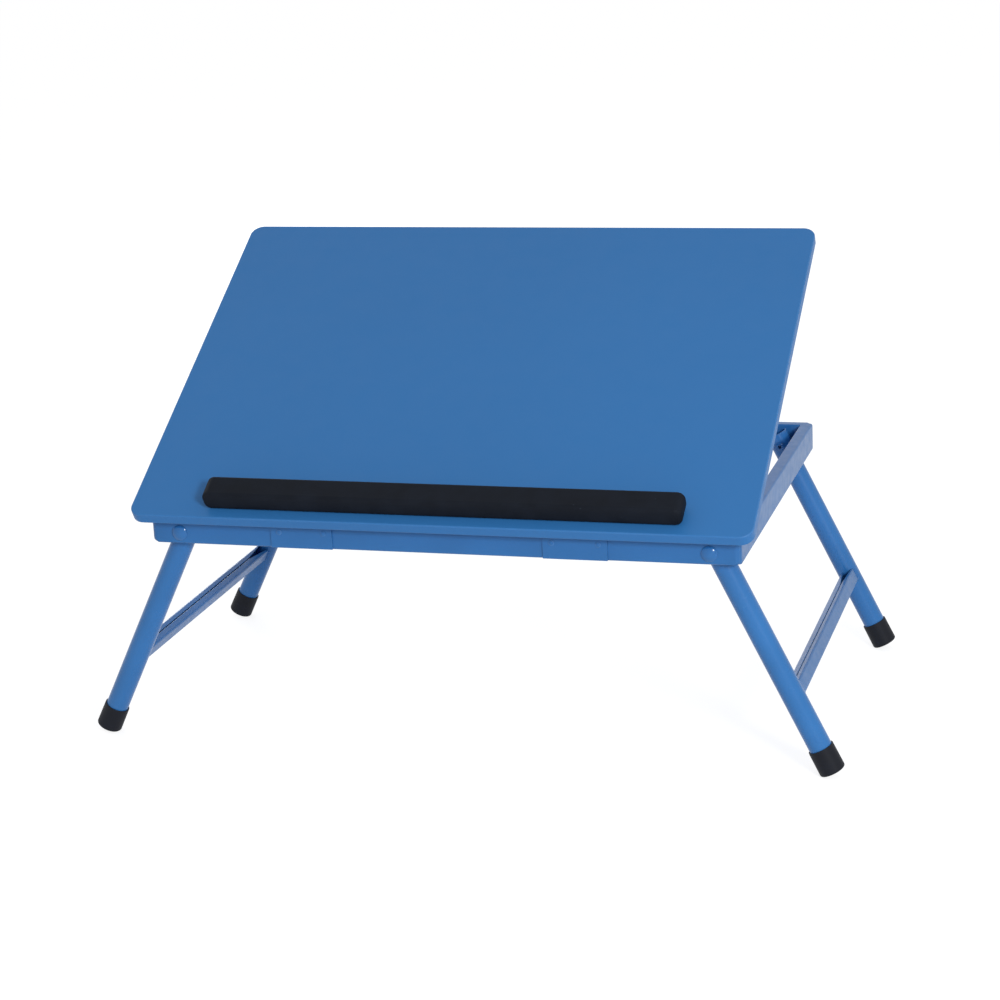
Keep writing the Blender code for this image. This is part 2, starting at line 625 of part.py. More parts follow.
def finish_leaf(leaf, others, hole_depth, hole_radius, cutters):
    """Clear a leaf of the other leaf's knuckles and give it its two fastener holes."""
    add_cut(leaf, "_clearance", rods(others, KNUCKLE_RADIUS + GAP, PIN_SIDES), cutters)
    holes = [
        ((x, -hole_depth, 0), (x, -hole_depth, KNUCKLE_RADIUS + OVERRUN))
        for x in (-HINGE_FASTENER_SPACING / 2, HINGE_FASTENER_SPACING / 2)
    ]
    add_cut(leaf, "_holes", rods(holes, hole_radius, SCREW_SIDES), cutters)


def make_hinges(table, cutters, looks, board_axis):
    """Build the two butt hinges between the front rail and the board, with their rail rivets."""
    paint = looks["frame_paint"]
    fixed, moving = leaf_mesh(HINGE_LEAF_HEIGHT), leaf_mesh(HINGE_LEAF_DEPTH)
    pin = rods([((-HINGE_LENGTH / 2, 0, 0), (HINGE_LENGTH / 2, 0, 0))], HINGE_PIN_RADIUS, SCREW_SIDES)
    for side_name, side in SIDES.items():
        name = side_name + "_hinge"
        offset = Vector((side * HINGE_SPACING / 2, 0, 0))
        place = HINGE_AXIS + offset
        upright = (QUARTER_TURN, 0, 2 * QUARTER_TURN)
        leaf = add_piece(name + "_fixed_leaf", fixed, paint, table, None, place, upright)
        finish_leaf(leaf, knuckle_clearances(1), HINGE_RIVET_DROP, HINGE_RIVET_RADIUS + GAP, cutters)
        flat = (0, 0, 2 * QUARTER_TURN)
        leaf = add_piece(name + "_moving_leaf", moving, paint, table, board_axis, offset, flat)
        finish_leaf(leaf, knuckle_clearances(0), HINGE_SCREW_SETBACK, SCREW_RADIUS + GAP, cutters)
        add_piece(name + "_pin", pin, looks["zinc_steel"], table, None, place)

    seat = HINGE_LEAF_THICKNESS + 2 * GAP
    tail_top = -(RAIL_WALL + GAP)
    tail_base = tail_top - HINGE_RIVET_TAIL_HEIGHT
    profile = dome(HINGE_RIVET_HEAD_RADIUS, HINGE_RIVET_HEAD_HEIGHT, seat, EDGE_STEPS) + [
        (HINGE_RIVET_RADIUS, seat), (HINGE_RIVET_RADIUS, tail_top), (HINGE_RIVET_HEAD_RADIUS, tail_top),
        (HINGE_RIVET_HEAD_RADIUS, tail_base), (0, tail_base),
    ]
    rivet = turned(profile, SCREW_SIDES)
    for (side_name, number), x in hinge_fasteners().items():
        name = side_name + "_hinge_rivet_" + str(number)
        add_piece(name, rivet, paint, table, None, (x, FRAME_FRONT, HINGE_RIVET_Z), (QUARTER_TURN, 0, 0))


def link_mesh(elbow_hole_radius):
    """Return a stay link, from its outer pivot at the origin to its elbow towards -X."""
    half = STAY_LINK_WIDTH / 2
    outline = arc((0, 0), half, -QUARTER_TURN, QUARTER_TURN, CORNER_STEPS)
    outline += arc((-STAY_LINK_LENGTH, 0), half, QUARTER_TURN, 3 * QUARTER_TURN, CORNER_STEPS)
    holes = [
        circle(STAY_PIN_RADIUS + GAP, PIN_SIDES),
        circle(elbow_hole_radius, PIN_SIDES, (-STAY_LINK_LENGTH, 0)),
    ]
    return plate([outline] + holes, STAY_LINK_THICKNESS)


def headed_pin(spans):
    """Return a pin whose head and collar spans along Z are listed from its far end."""
    points = []
    for near, far in spans:
        points += [
            (STAY_PIN_RADIUS, far), (STAY_HEAD_RADIUS, far),
            (STAY_HEAD_RADIUS, near), (STAY_PIN_RADIUS, near),
        ]
    points[0] = (0, points[0][1])
    points[-1] = (0, points[-1][1])
    return turned(points, PIN_SIDES)


def bracket_mesh():
    """Return the angle bracket under the board, its ear's outer face at the origin and its flange to +X."""
    drop = HINGE_OFFSET - GAP + STAY_FALL + BRACKET_EAR_MARGIN
    points = [
        (0, 0), (0, -drop), (BRACKET_THICKNESS, -drop), (BRACKET_THICKNESS, -BRACKET_THICKNESS),
        (BRACKET_FLANGE, -BRACKET_THICKNESS), (BRACKET_FLANGE, 0),
    ]
    mesh = plate([points], BRACKET_LENGTH)
    mesh.transform(Matrix.Rotation(QUARTER_TURN, 4, "X"))
    return mesh


def make_bracket(name, side, mesh, table, cutters, zinc, board_axis):
    """Place a bracket under the board with its pin hole and screw holes."""
    top = HINGE_OFFSET - GAP
    place = (side * (RAIL_INNER_X - BRACKET_START), STAY_SETBACK, top)
    heading = (0, 0, (1 + side) * QUARTER_TURN)
    bracket = add_piece(name + "_bracket", mesh, zinc, table, board_axis, place, heading)
    height = -STAY_FALL - top
    eye = [((-OVERRUN, 0, height), (BRACKET_THICKNESS + OVERRUN, 0, height))]
    add_cut(bracket, "_eye", rods(eye, STAY_PIN_RADIUS + GAP, PIN_SIDES), cutters)
    across = BRACKET_SCREW_INSET - BRACKET_START
    holes = [
        ((across, y, -BRACKET_THICKNESS - OVERRUN), (across, y, OVERRUN))
        for y in (-BRACKET_SCREW_SPACING / 2, BRACKET_SCREW_SPACING / 2)
    ]
    add_cut(bracket, "_holes", rods(holes, SCREW_RADIUS + GAP, SCREW_SIDES), cutters)


def make_stays(table, cutters, looks, board_axis):
    """Build a folding stay on each side: a lower link on the side rail and an upper link on the board."""
    zinc = looks["zinc_steel"]
    stud = headed_pin([
        (STUD_HEAD_START, STUD_HEAD_START + STAY_HEAD_HEIGHT),
        (GAP, GAP + STAY_COLLAR_HEIGHT),
    ])
    pin = headed_pin([
        (PIN_TAIL_START, PIN_TAIL_START + STAY_HEAD_HEIGHT),
        (PIN_HEAD_START, PIN_HEAD_START + STAY_HEAD_HEIGHT),
    ])
    elbow = headed_pin([
        (BRACKET_START, BRACKET_START + STAY_HEAD_HEIGHT),
        (STUD_HEAD_START, UPPER_LINK_START - GAP),
        (LOWER_LINK_START - GAP - STAY_HEAD_HEIGHT, LOWER_LINK_START - GAP),
    ])
    lower_link = link_mesh(STAY_PIN_RADIUS + GAP)
    upper_link = link_mesh(STAY_PIN_RADIUS + STAY_ELBOW_PLAY)
    bracket = bracket_mesh()
    upright = (QUARTER_TURN, 0, QUARTER_TURN)
    for side_name, side in SIDES.items():
        name = side_name + "_stay"
        inwards = (0, -side * QUARTER_TURN, 0)
        rail_x = side * RAIL_INNER_X
        foot = (0, HINGE_AXIS.y + STAY_SETBACK, HINGE_AXIS.z - STAY_FALL)
        lower_axis = joint_axis(name + "_lower_axis", foot, (-STAY_DIP - STAY_LINK_SWING, 0, 0))
        head = (0, STAY_SETBACK, -STAY_FALL)
        upper_axis = joint_axis(name + "_upper_axis", head, (STAY_LINK_SWING - STAY_DIP, 0, 0), board_axis)

        add_piece(name + "_stud", stud, zinc, table, None, (rail_x, *foot[1:]), inwards)
        place = (side * (RAIL_INNER_X - LOWER_LINK_START - STAY_LINK_THICKNESS / 2), 0, 0)
        add_piece(name + "_lower_link", lower_link, zinc, table, lower_axis, place, upright)
        place = (rail_x, -STAY_LINK_LENGTH, 0)
        add_piece(name + "_elbow_rivet", elbow, zinc, table, lower_axis, place, inwards)
        place = (side * (RAIL_INNER_X - UPPER_LINK_START - STAY_LINK_THICKNESS / 2), 0, 0)
        add_piece(name + "_upper_link", upper_link, zinc, table, upper_axis, place, upright)
        make_bracket(name, side, bracket, table, cutters, zinc, board_axis)
        add_piece(name + "_pin", pin, zinc, table, board_axis, (rail_x, *head[1:]), inwards)


def make_table():
    """Build the whole table."""
    clear_scene()
    table = new_collection("folding_laptop_table")
    cutters = new_collection("cutters")
    looks = {
        "board_paint": finish("board_paint", (0.052, 0.186, 0.430), 0.50, 0),
        "frame_paint": finish("frame_paint", (0.050, 0.190, 0.450), 0.40, 0),
        "black_rubber": finish("black_rubber", (0.012, 0.015, 0.020), 0.60, 0),
        "zinc_steel": finish("zinc_steel", (0.620, 0.630, 0.640), 0.35, 1),
    }
    board_axis = joint_axis("board_tilt_axis", HINGE_AXIS, (BOARD_TILT, 0, 0))
    make_rails(table, cutters, looks["frame_paint"])
    make_leg_pivots(table, looks["frame_paint"], looks["zinc_steel"])
    make_leg_pairs(table, cutters, looks)
    make_board(table, cutters, looks["board_paint"], board_axis)
    make_stopper(table, cutters, looks, board_axis)
    make_board_screws(table, looks["zinc_steel"], board_axis)
    make_hinges(table, cutters, looks, board_axis)
    make_stays(table, cutters, looks, board_axis)
    bpy.context.view_layer.update()


make_table()
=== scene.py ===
import json
import math

import bmesh
import bpy
from mathutils import Matrix, Vector


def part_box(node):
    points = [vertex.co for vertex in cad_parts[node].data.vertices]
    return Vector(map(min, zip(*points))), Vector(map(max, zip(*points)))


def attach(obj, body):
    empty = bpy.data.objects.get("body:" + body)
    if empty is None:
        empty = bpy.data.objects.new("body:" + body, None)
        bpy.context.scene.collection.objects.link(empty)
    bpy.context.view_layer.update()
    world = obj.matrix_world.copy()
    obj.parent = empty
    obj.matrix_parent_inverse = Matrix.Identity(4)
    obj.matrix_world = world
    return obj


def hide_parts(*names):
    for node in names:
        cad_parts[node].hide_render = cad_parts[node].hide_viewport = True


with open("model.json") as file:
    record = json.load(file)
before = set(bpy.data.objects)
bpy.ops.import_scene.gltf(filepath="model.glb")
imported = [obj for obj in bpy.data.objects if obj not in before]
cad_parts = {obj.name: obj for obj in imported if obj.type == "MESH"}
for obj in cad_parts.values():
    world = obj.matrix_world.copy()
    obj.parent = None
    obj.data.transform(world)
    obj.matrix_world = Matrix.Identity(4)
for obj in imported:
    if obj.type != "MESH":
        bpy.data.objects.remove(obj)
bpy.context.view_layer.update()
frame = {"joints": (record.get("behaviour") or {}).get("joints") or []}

bl_info = {
    "name": "Folding Laptop Table",
    "version": (1, 0, 0),
    "blender": (4, 5, 0),
    "location": "View3D > Sidebar > Laptop Table",
    "description": "Builds and finishes the pieces of a folding laptop table",
    "category": "Object",
}

QUARTER_TURN = math.pi / 2
MERGE_DISTANCE = 0.00001
SHARP_ANGLE = math.radians(35)
LATHE_CENTRE = 0.001
PLAY = 0.0003
HOLE_SIDES = 24
LEG_SIDES = 56
RECESS_TAPER = 0.55
SIDES = {"left": -1, "right": 1}
ENDS = {"front": -1, "back": 1}
JOINTS = {joint["name"]: joint for joint in frame["joints"]}
UPRIGHT = [((0, 0, 0), (0, 0, 1))]
STOOD_UP = Matrix.Rotation(QUARTER_TURN, 4, "X")
TURNED_ROUND = Matrix.Rotation(2 * QUARTER_TURN, 4, "Z")


def box_middle(node):
    """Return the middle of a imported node's box."""
    low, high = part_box(node)
    return (low + high) / 2


def box_size(node):
    """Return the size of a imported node's box."""
    low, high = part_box(node)
    return high - low


def pairs(fastener):
    """Return the nodes of a fastener that each side has two of."""
    return [f"{side}_{fastener}_{number}" for side in SIDES for number in (1, 2)]


STOPPER_SCREWS = ["stopper_screw_1", "stopper_screw_2", "stopper_screw_3"]
HINGE_SCREWS = pairs("hinge_screw")
BRACKET_SCREWS = pairs("bracket_screw")
HINGE_RIVETS = pairs("hinge_rivet")

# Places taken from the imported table
TILT = -math.radians(JOINTS["board_tilt"]["range_deg"][0])
HINGE_AXIS = Vector(JOINTS["board_tilt"]["pos_m"])
BOARD_PLACE = Matrix.Translation(HINGE_AXIS) @ Matrix.Rotation(TILT, 4, "X")
LEG_SPLAY = math.radians(JOINTS["left_leg_fold"]["range_deg"][1]) - QUARTER_TURN
FRAME_WIDTH = box_size("front_rail").x
FRAME_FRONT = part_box("front_rail")[0].y
FRAME_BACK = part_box("back_rail")[1].y
FRAME_DEPTH = FRAME_BACK - FRAME_FRONT
FRAME_MIDDLE = (FRAME_FRONT + FRAME_BACK) / 2
RAIL_HEIGHT = box_size("front_rail").z
RAIL_THICKNESS = box_size("front_rail").y
RAIL_INNER_X = FRAME_WIDTH / 2 - RAIL_THICKNESS


def length(name, description, default):
    """Return a length property."""
    return bpy.props.FloatProperty(name=name, description=description, default=default, unit="LENGTH")


def paint(name, description, default):
    """Return a colour property."""
    return bpy.props.FloatVectorProperty(
        name=name, description=description, default=default, subtype="COLOR", min=0, max=1)


class BoardSizes(bpy.types.PropertyGroup):
    """Sizes of the board and its stopper bar."""

    width: length("Board width", "Length of the board from side to side", 0.600)
    depth: length("Board depth", "Length of the board from its front to its rear edge", 0.4265)
    thickness: length("Board thickness", "Thickness of the board", 0.011)
    front: length("Board front", "How far the board reaches in front of the hinge axis", 0.0117)
    underside: length("Board underside", "Height of the board's underside over the hinge axis", 0.0031)
    corner_radius: length("Board corner", "Radius of the board's corners", 0.013)
    edge_radius: length("Board edge", "Radius of the board's softened edges", 0.0013)
    bar_length: length("Bar length", "Length of the stopper bar", 0.460)
    bar_depth: length("Bar depth", "Depth of the stopper bar along the board", 0.0255)
    bar_height: length("Bar height", "Height of the stopper bar over the board", 0.0202)
    bar_setback: length("Bar setback", "Distance from the board's front edge to the bar", 0.0105)
    bar_shift: length("Bar shift", "Shift of the bar to the right of the middle", 0.0062)
    bar_corner: length("Bar corner", "Radius of the bar's corners seen from the front", 0.0076)
    bar_edge: length("Bar edge", "Radius of the bar's front and rear edges", 0.0035)


class FrameSizes(bpy.types.PropertyGroup):
    """Sizes of the frame, the legs and their feet."""

    corner_radius: length("Frame corner", "Radius of the frame's dressed outer corners", 0.0060)
    edge_radius: length("Rail edge", "Radius of the rails' outer long edges", 0.0020)
    inner_radius: length("Inner rail edge", "Radius of the rails' inner long edges", 0.0013)
    leg_radius: length("Leg radius", "Outer radius of the leg tube", 0.011)
    leg_wall: length("Leg wall", "Wall thickness of the leg tube", 0.0012)
    leg_reach: length("Leg reach", "Length of a leg from its pivot to the foot's sole", 0.23749)
    leg_headroom: length("Leg headroom", "Length of a leg above its pivot", 0.0125)
    foot_height: length("Foot height", "Height of the rubber cap", 0.0255)
    foot_radius: length("Foot radius", "Outer radius of the rubber cap", 0.01249)
    crossbar_size: length("Crossbar size", "Width and height of the crossbar", 0.014)
    crossbar_slot: length("Crossbar slot", "Width of the slot along the crossbar's top", 0.0009)
    crossbar_drop: length("Crossbar drop", "Distance from the leg pivots to the crossbar's middle", 0.1555)
    crossbar_shift: length("Crossbar shift", "How far outwards the crossbar sits on the legs", 0.0015)


class FastenerSizes(bpy.types.PropertyGroup):
    """Sizes of the rivets, screws, hinges and stays."""

    rivet_radius: length("Leg rivet", "Radius of the leg rivets' shank", 0.003)
    rivet_head: length("Leg rivet head", "Radius of the leg rivets' domed head", 0.0076)
    rivet_height: length("Leg rivet height", "Height of the leg rivets' domed head", 0.0030)
    knuckle_radius: length("Knuckle", "Outer radius of the hinge knuckles", 0.0028)
    leaf_thickness: length("Leaf thickness", "Thickness of the hinge leaves", 0.0012)
    link_width: length("Link width", "Width of the stay links", 0.013)
    link_thickness: length("Link thickness", "Thickness of the stay links", 0.0025)
    screw_radius: length("Screw", "Radius of the pan head screws' shank", 0.0014)
    screw_length: length("Screw length", "How far the pan head screws reach into the board", 0.008)
    screw_head: length("Screw head", "Radius of the pan head screws' head", 0.003)
    screw_head_height: length("Screw head height", "Height of the pan head screws' head", 0.0012)
    stopper_radius: length("Stopper screw", "Radius of the stopper screws' shank", 0.0016)
    stopper_reach: length("Stopper screw reach", "Reach of the stopper screws over the underside", 0.020)
    stopper_head: length("Stopper screw head", "Radius of the stopper screws' sunk head", 0.0038)
    stopper_head_height: length("Stopper head height", "Height of the stopper screws' sunk head", 0.0021)
    hinge_rivet: length("Hinge rivet", "Radius of the hinge rivets' shank", 0.0014)
    hinge_rivet_head: length("Hinge rivet head", "Radius of the hinge rivets' head", 0.0027)
    hinge_rivet_height: length("Hinge rivet height", "Height of the hinge rivets' head", 0.0006)


class FinishColours(bpy.types.PropertyGroup):
    """Colours of the finishes."""

    board: paint("Board paint", "Colour of the board's paint", (0.029, 0.164, 0.430))
    frame: paint("Frame paint", "Colour of the frame's stoved paint", (0.0255, 0.144, 0.388))
    # Painted light: the leg colour is the frame's blue made lighter, for the light the legs catch while the
    # rails sit in the board's shade.
    legs: paint("Leg paint", "Colour of the legs' stoved paint", (0.029, 0.160, 0.428))
    bar: paint("Bar rubber", "Colour of the stopper bar", (0.0085, 0.0109, 0.0166))
    caps: paint("Cap rubber", "Colour of the caps on the feet", (0.0080, 0.0094, 0.0145))
    zinc: paint("Zinc", "Colour of the plated steel", (0.600, 0.615, 0.630))


class StageSettings(bpy.types.PropertyGroup):
    """Camera and light."""

    lens: bpy.props.FloatProperty(
        name="Lens", description="Focal length of the camera in millimetres",
        default=90.49, unit="CAMERA")
    sky: bpy.props.FloatProperty(
        name="Sky", description="Strength of the even light from all around",
        default=0.52, min=0)
    key: bpy.props.FloatProperty(
        name="Key lamp", description="Power of the lamp in front on the right",
        default=53.0, unit="POWER")
    rear: bpy.props.FloatProperty(
        name="Rear lamp", description="Power of the soft lamp behind on the left",
        default=30.0, unit="POWER")


# Node trees

class Amount:
    """A number that changes over a surface. Its sums and products become Math nodes."""

    def __init__(self, wiring, socket):
        self.wiring = wiring
        self.socket = socket

    def __add__(self, other):
        return self.wiring.worked("ADD", self, other)

    def __rsub__(self, other):
        return self.wiring.worked("SUBTRACT", other, self)

    def __mul__(self, other):
        return self.wiring.worked("MULTIPLY", self, other)


class Wiring:
    """Adds nodes to one tree."""

    def __init__(self, tree):
        self.tree = tree

    def feed(self, socket, value):
        """Link a socket or an amount to an input, or set the input's value."""
        if isinstance(value, Amount):
            value = value.socket
        if isinstance(value, bpy.types.NodeSocket):
            self.tree.links.new(value, socket)
        else:
            socket.default_value = value

    def node(self, kind, inputs=None, **settings):
        """Add a node, then give it its settings and the values or links of its sockets."""
        node = self.tree.nodes.new(kind)
        for name, value in settings.items():
            setattr(node, name, value)
        for key, value in (inputs or {}).items():
            self.feed(node.inputs[key], value)
        return node

    def out(self, kind, inputs=None, output=0, **settings):
        """Add a node and return one of its outputs."""
        return self.node(kind, inputs, **settings).outputs[output]

    def amount(self, kind, inputs=None, output=0, **settings):
        """Add a node and return one of its outputs as an amount."""
        return Amount(self, self.out(kind, inputs, output, **settings))

    def worked(self, operation, first, second):
        """Return the result of a Math node."""
        return self.amount("ShaderNodeMath", {0: first, 1: second}, operation=operation)

    def spread(self, value, low, high, start=0.0, end=1.0):
        """Return a value stretched from one range to another and held inside it."""
        ends = {"Value": value, "From Min": low, "From Max": high, "To Min": start, "To Max": end}
        return self.amount("ShaderNodeMapRange", ends, clamp=True)

    def blend(self, first, second, share):
        """Return a mix of two colours. A Mix node has a socket A for each data type: 6 is the colour."""
        return self.out("ShaderNodeMix", {0: share, 6: first, 7: second}, 2, data_type="RGBA")


# Surface finishes

class Finish(Wiring):
    """A material with one Principled shader and patterns on object coordinates."""

    bevel_samples = 4
    flat_limit = 0.012
    noise_low = 0.3
    noise_high = 0.7

    def __init__(self, name, roughness, shine, metallic=0.0):
        material = bpy.data.materials.new(name)
        material.use_nodes = True
        super().__init__(material.node_tree)
        self.shader = self.tree.nodes["Principled BSDF"]
        self.set("Roughness", roughness)
        self.set("Specular IOR Level", shine)
        self.set("Metallic", metallic)
        self.place = self.out("ShaderNodeTexCoord", output="Object")

    def stretched(self, scale):
        """Return the object coordinates scaled unevenly."""
        return self.out("ShaderNodeMapping", {"Vector": self.place, "Scale": scale})

    def clouds(self, size, detail, place=None):
        """Return soft noise whose blotches are about one size across."""
        inputs = {"Vector": place or self.place, "Scale": 1 / size, "Detail": detail}
        return self.amount("ShaderNodeTexNoise", inputs)

    def specks(self, size):
        """Return the distance to the nearest of many scattered points."""
        return self.amount("ShaderNodeTexVoronoi", {"Vector": self.place, "Scale": 1 / size})

    def edges(self, radius, full):
        """Return where the surface turns at an edge, from 0 on the flats to 1 on the edge."""
        rounded = self.out("ShaderNodeBevel", {"Radius": radius}, "Normal", samples=self.bevel_samples)
        normals = {0: rounded, 1: self.out("ShaderNodeNewGeometry", output="Normal")}
        facing = self.amount("ShaderNodeVectorMath", normals, "Value", operation="DOT_PRODUCT")
        return self.spread(1 - facing, self.flat_limit, full)

    def mottled(self, colour, pattern, darker, lighter, low=noise_low):
        """Return a colour that a pattern makes darker and lighter."""
        share = self.spread(pattern, low, self.noise_high)
        return self.blend(shade(colour, darker), shade(colour, lighter), share)

    def patchy(self, pattern, smoothest, roughest):
        """Return a roughness that a pattern moves between two values."""
        return self.spread(pattern, self.noise_low, self.noise_high, smoothest, roughest)

    def set(self, name, value):
        """Feed one input of the shader."""
        self.feed(self.shader.inputs[name], value)

    def bump(self, height, distance):
        """Raise the surface by a height pattern."""
        inputs = {"Height": height, "Distance": distance, "Strength": 1.0}
        self.set("Normal", self.out("ShaderNodeBump", inputs, "Normal"))


def shade(colour, factor):
    """Return a colour made lighter or darker, with alpha."""
    return (*[min(1.0, channel * factor) for channel in colour], 1.0)


def tinted(colour, other, share):
    """Return a colour mixed with another, with alpha."""
    return (*[a + (b - a) * share for a, b in zip(colour, other)], 1.0)


def board_paint(name, colour):
    """Make satin paint rolled on fibreboard."""
    finish = Finish(name, roughness=0.46, shine=0.24)
    broad = finish.clouds(size=0.3, detail=2)
    fibres = finish.clouds(size=0.0011, detail=3)
    rubbed = finish.clouds(size=0.02, detail=5)
    peel = finish.clouds(size=0.0035, detail=2)
    edge = finish.edges(radius=0.0012, full=0.06)
    worn = edge * finish.spread(rubbed, low=0.35, high=0.6, start=0.25, end=0.6)
    sunk = finish.spread(fibres, low=0.55, high=0.8, start=0, end=0.35)
    body = finish.mottled(colour, broad, darker=0.98, lighter=1.02)
    body = finish.blend(body, shade(colour, factor=0.9), sunk)
    finish.set("Base Color", finish.blend(body, tinted(colour, other=(0.5, 0.6, 0.7), share=0.4), worn))
    finish.set("Roughness", finish.patchy(rubbed, smoothest=0.40, roughest=0.50) + worn * 0.1)
    finish.bump(peel * 0.7 + fibres * 0.3, distance=0.00001)


def stoved_paint(name, colour, smoothest, roughest):
    """Make stoved paint on steel, with the orange peel of a sprayed coat."""
    finish = Finish(name, roughness=(smoothest + roughest) / 2, shine=0.30)
    broad = finish.clouds(size=0.06, detail=2)
    rubbed = finish.clouds(size=0.009, detail=5)
    edge = finish.edges(radius=0.0007, full=0.08)
    worn = edge * finish.spread(rubbed, low=0.4, high=0.65, start=0.1, end=0.6)
    body = finish.mottled(colour, broad, darker=0.94, lighter=1.06)
    finish.set("Base Color", finish.blend(body, tinted(colour, other=(0.45, 0.6, 0.75), share=0.2), worn))
    finish.set("Roughness", finish.patchy(rubbed, smoothest, roughest) + worn * 0.12)
    finish.bump(finish.clouds(size=0.0021, detail=2), distance=0.000006)


def moulded_rubber(name, colour, shine):
    """Make moulded rubber with a fine grain and a little bloom."""
    finish = Finish(name, roughness=0.5, shine=shine)
    bloom = finish.clouds(size=0.018, detail=4)
    flecks = finish.spread(finish.specks(size=0.012), low=0.02, high=0.03)
    edge = finish.edges(radius=0.0009, full=0.08)
    body = finish.mottled(colour, bloom, darker=0.9, lighter=1.25, low=0.35)
    body = finish.blend(shade(colour, factor=6), body, flecks)
    finish.set("Base Color", finish.blend(body, shade(colour, factor=2.6), edge * 0.6))
    finish.set("Roughness", finish.patchy(bloom, smoothest=0.50, roughest=0.64))
    finish.bump(finish.clouds(size=0.0007, detail=3), distance=0.00005)


def bright_zinc(name, colour):
    """Make zinc-plated steel, brushed and a little cloudy."""
    finish = Finish(name, roughness=0.32, shine=0.5, metallic=0.95)
    cloudy = finish.clouds(size=0.006, detail=4)
    strokes = finish.clouds(size=0.0005, detail=2, place=finish.stretched(scale=(1, 0.05, 1)))
    edge = finish.edges(radius=0.0006, full=0.08)
    body = finish.mottled(colour, cloudy, darker=0.92, lighter=1.04)
    finish.set("Base Color", finish.blend(body, shade(colour, factor=1.25), edge * 0.5))
    finish.set("Roughness", finish.patchy(cloudy, smoothest=0.30, roughest=0.38))
    finish.bump(strokes, distance=0.00002)


# The colour, the maker and the maker's own values of each finish. The legs are glossier than the
# frame, the rivet heads are smoothed where the setting tool pressed, and the feet are harder rubber.
FINISHES = {
    "satin_board_paint": ("board", board_paint, {}),
    "stoved_frame_paint": ("frame", stoved_paint, {"smoothest": 0.30, "roughest": 0.40}),
    # Painted light: the legs' paint is the frame's blue made lighter, standing in for the light that falls
    # on the legs while the rails lie in the board's shade.
    "stoved_leg_paint": ("legs", stoved_paint, {"smoothest": 0.24, "roughest": 0.28}),
    "pressed_rivet_paint": ("frame", stoved_paint, {"smoothest": 0.12, "roughest": 0.20}),
    "soft_bar_rubber": ("bar", moulded_rubber, {"shine": 0.06}),
    "hard_cap_rubber": ("caps", moulded_rubber, {"shine": 0.16}),
    "bright_zinc": ("zinc", bright_zinc, {}),
}


def material_of(finish):
    """Return the material of a finish, made at its first use."""
    if finish not in bpy.data.materials:
        colour, make, values = FINISHES[finish]
        make(finish, tuple(getattr(bpy.context.scene.table_colours, colour)), **values)
    return bpy.data.materials[finish]


# Geometry trees

class GeometryTree(Wiring):
    """A geometry tree with named inputs, which ends by setting the material."""

    def __init__(self, name, **inputs):
        super().__init__(bpy.data.node_groups.new(name, "GeometryNodeTree"))
        interface = self.tree.interface
        for way in ("INPUT", "OUTPUT"):
            interface.new_socket("Geometry", in_out=way, socket_type="NodeSocketGeometry")
        for label, kind in {**inputs, "Material": "Material"}.items():
            interface.new_socket(label, in_out="INPUT", socket_type="NodeSocket" + kind)
        self.given = self.node("NodeGroupInput").outputs

    def shape(self):
        """Return the geometry of the object that the tree is given as its shape."""
        return self.out("GeometryNodeObjectInfo", {"Object": self.given["Shape"]}, "Geometry")

    def line(self, mesh):
        """Return a mesh of edges as a curve."""
        return self.out("GeometryNodeMeshToCurve", {"Mesh": mesh})

    def circle(self, sides, radius):
        """Return a round curve."""
        return self.out("GeometryNodeCurvePrimitiveCircle", {"Resolution": sides, "Radius": radius})

    def swept(self, path, section, caps, scale=1.0):
        """Return a section run along a path."""
        inputs = {"Curve": path, "Profile Curve": section, "Scale": scale, "Fill Caps": caps}
        return self.out("GeometryNodeCurveToMesh", inputs)

    def merged(self, body):
        """Return a body with its doubles merged."""
        return self.out("GeometryNodeMergeByDistance", {"Geometry": body, "Distance": MERGE_DISTANCE})

    def placed(self, shape):
        """Return a shape on every given point, its height along the point's axis."""
        axis = self.out("GeometryNodeInputNamedAttribute", {"Name": "axis"}, data_type="FLOAT_VECTOR")
        turn = self.out("FunctionNodeAlignRotationToVector", {"Vector": axis}, axis="Z")
        inputs = {"Points": self.given["Geometry"], "Instance": shape, "Rotation": turn}
        return self.out("GeometryNodeInstanceOnPoints", inputs)

    def end(self, geometry):
        """Make the copies real, set the material and return the tree."""
        real = self.out("GeometryNodeRealizeInstances", {"Geometry": geometry})
        inputs = {"Geometry": real, "Material": self.given["Material"]}
        self.node("NodeGroupOutput", {"Geometry": self.out("GeometryNodeSetMaterial", inputs)})
        return self.tree


def turned_tree():
    """Return the tree that turns a profile on a lathe and puts the result in its places."""
    tree = GeometryTree("turned_pieces", Shape="Object", Sides="Int")
    path = tree.circle(tree.given["Sides"], LATHE_CENTRE)
    return tree.end(tree.placed(tree.merged(tree.swept(path, tree.line(tree.shape()), False))))


def placed_tree():
    """Return the tree that puts copies of a made piece in their places."""
    tree = GeometryTree("placed_pieces", Shape="Object")
    return tree.end(tree.placed(tree.shape()))


def bar_tree():
    """Return the tree that runs a section along a path and closes its ends."""
    tree = GeometryTree("bars", Shape="Object")
    path = tree.line(tree.given["Geometry"])
    return tree.end(tree.merged(tree.swept(path, tree.line(tree.shape()), True)))


def bead_tree():
    """Return the tree that lays a rippled weld bead along a path."""
    tree = GeometryTree("weld_beads", Radius="Float", Step="Float", Ripple="Float", Sides="Int", Seed="Int")
    given = tree.given
    inputs = {"Curve": tree.line(given["Geometry"]), "Length": given["Step"]}
    finer = tree.out("GeometryNodeResampleCurve", inputs, mode="LENGTH")
    swell = tree.amount("FunctionNodeRandomValue", {"Seed": given["Seed"]}, 1, data_type="FLOAT")
    thickness = (1 - swell * given["Ripple"]) * given["Radius"]
    return tree.end(tree.swept(finer, tree.circle(given["Sides"], 1.0), True, thickness))


trees_made = {}


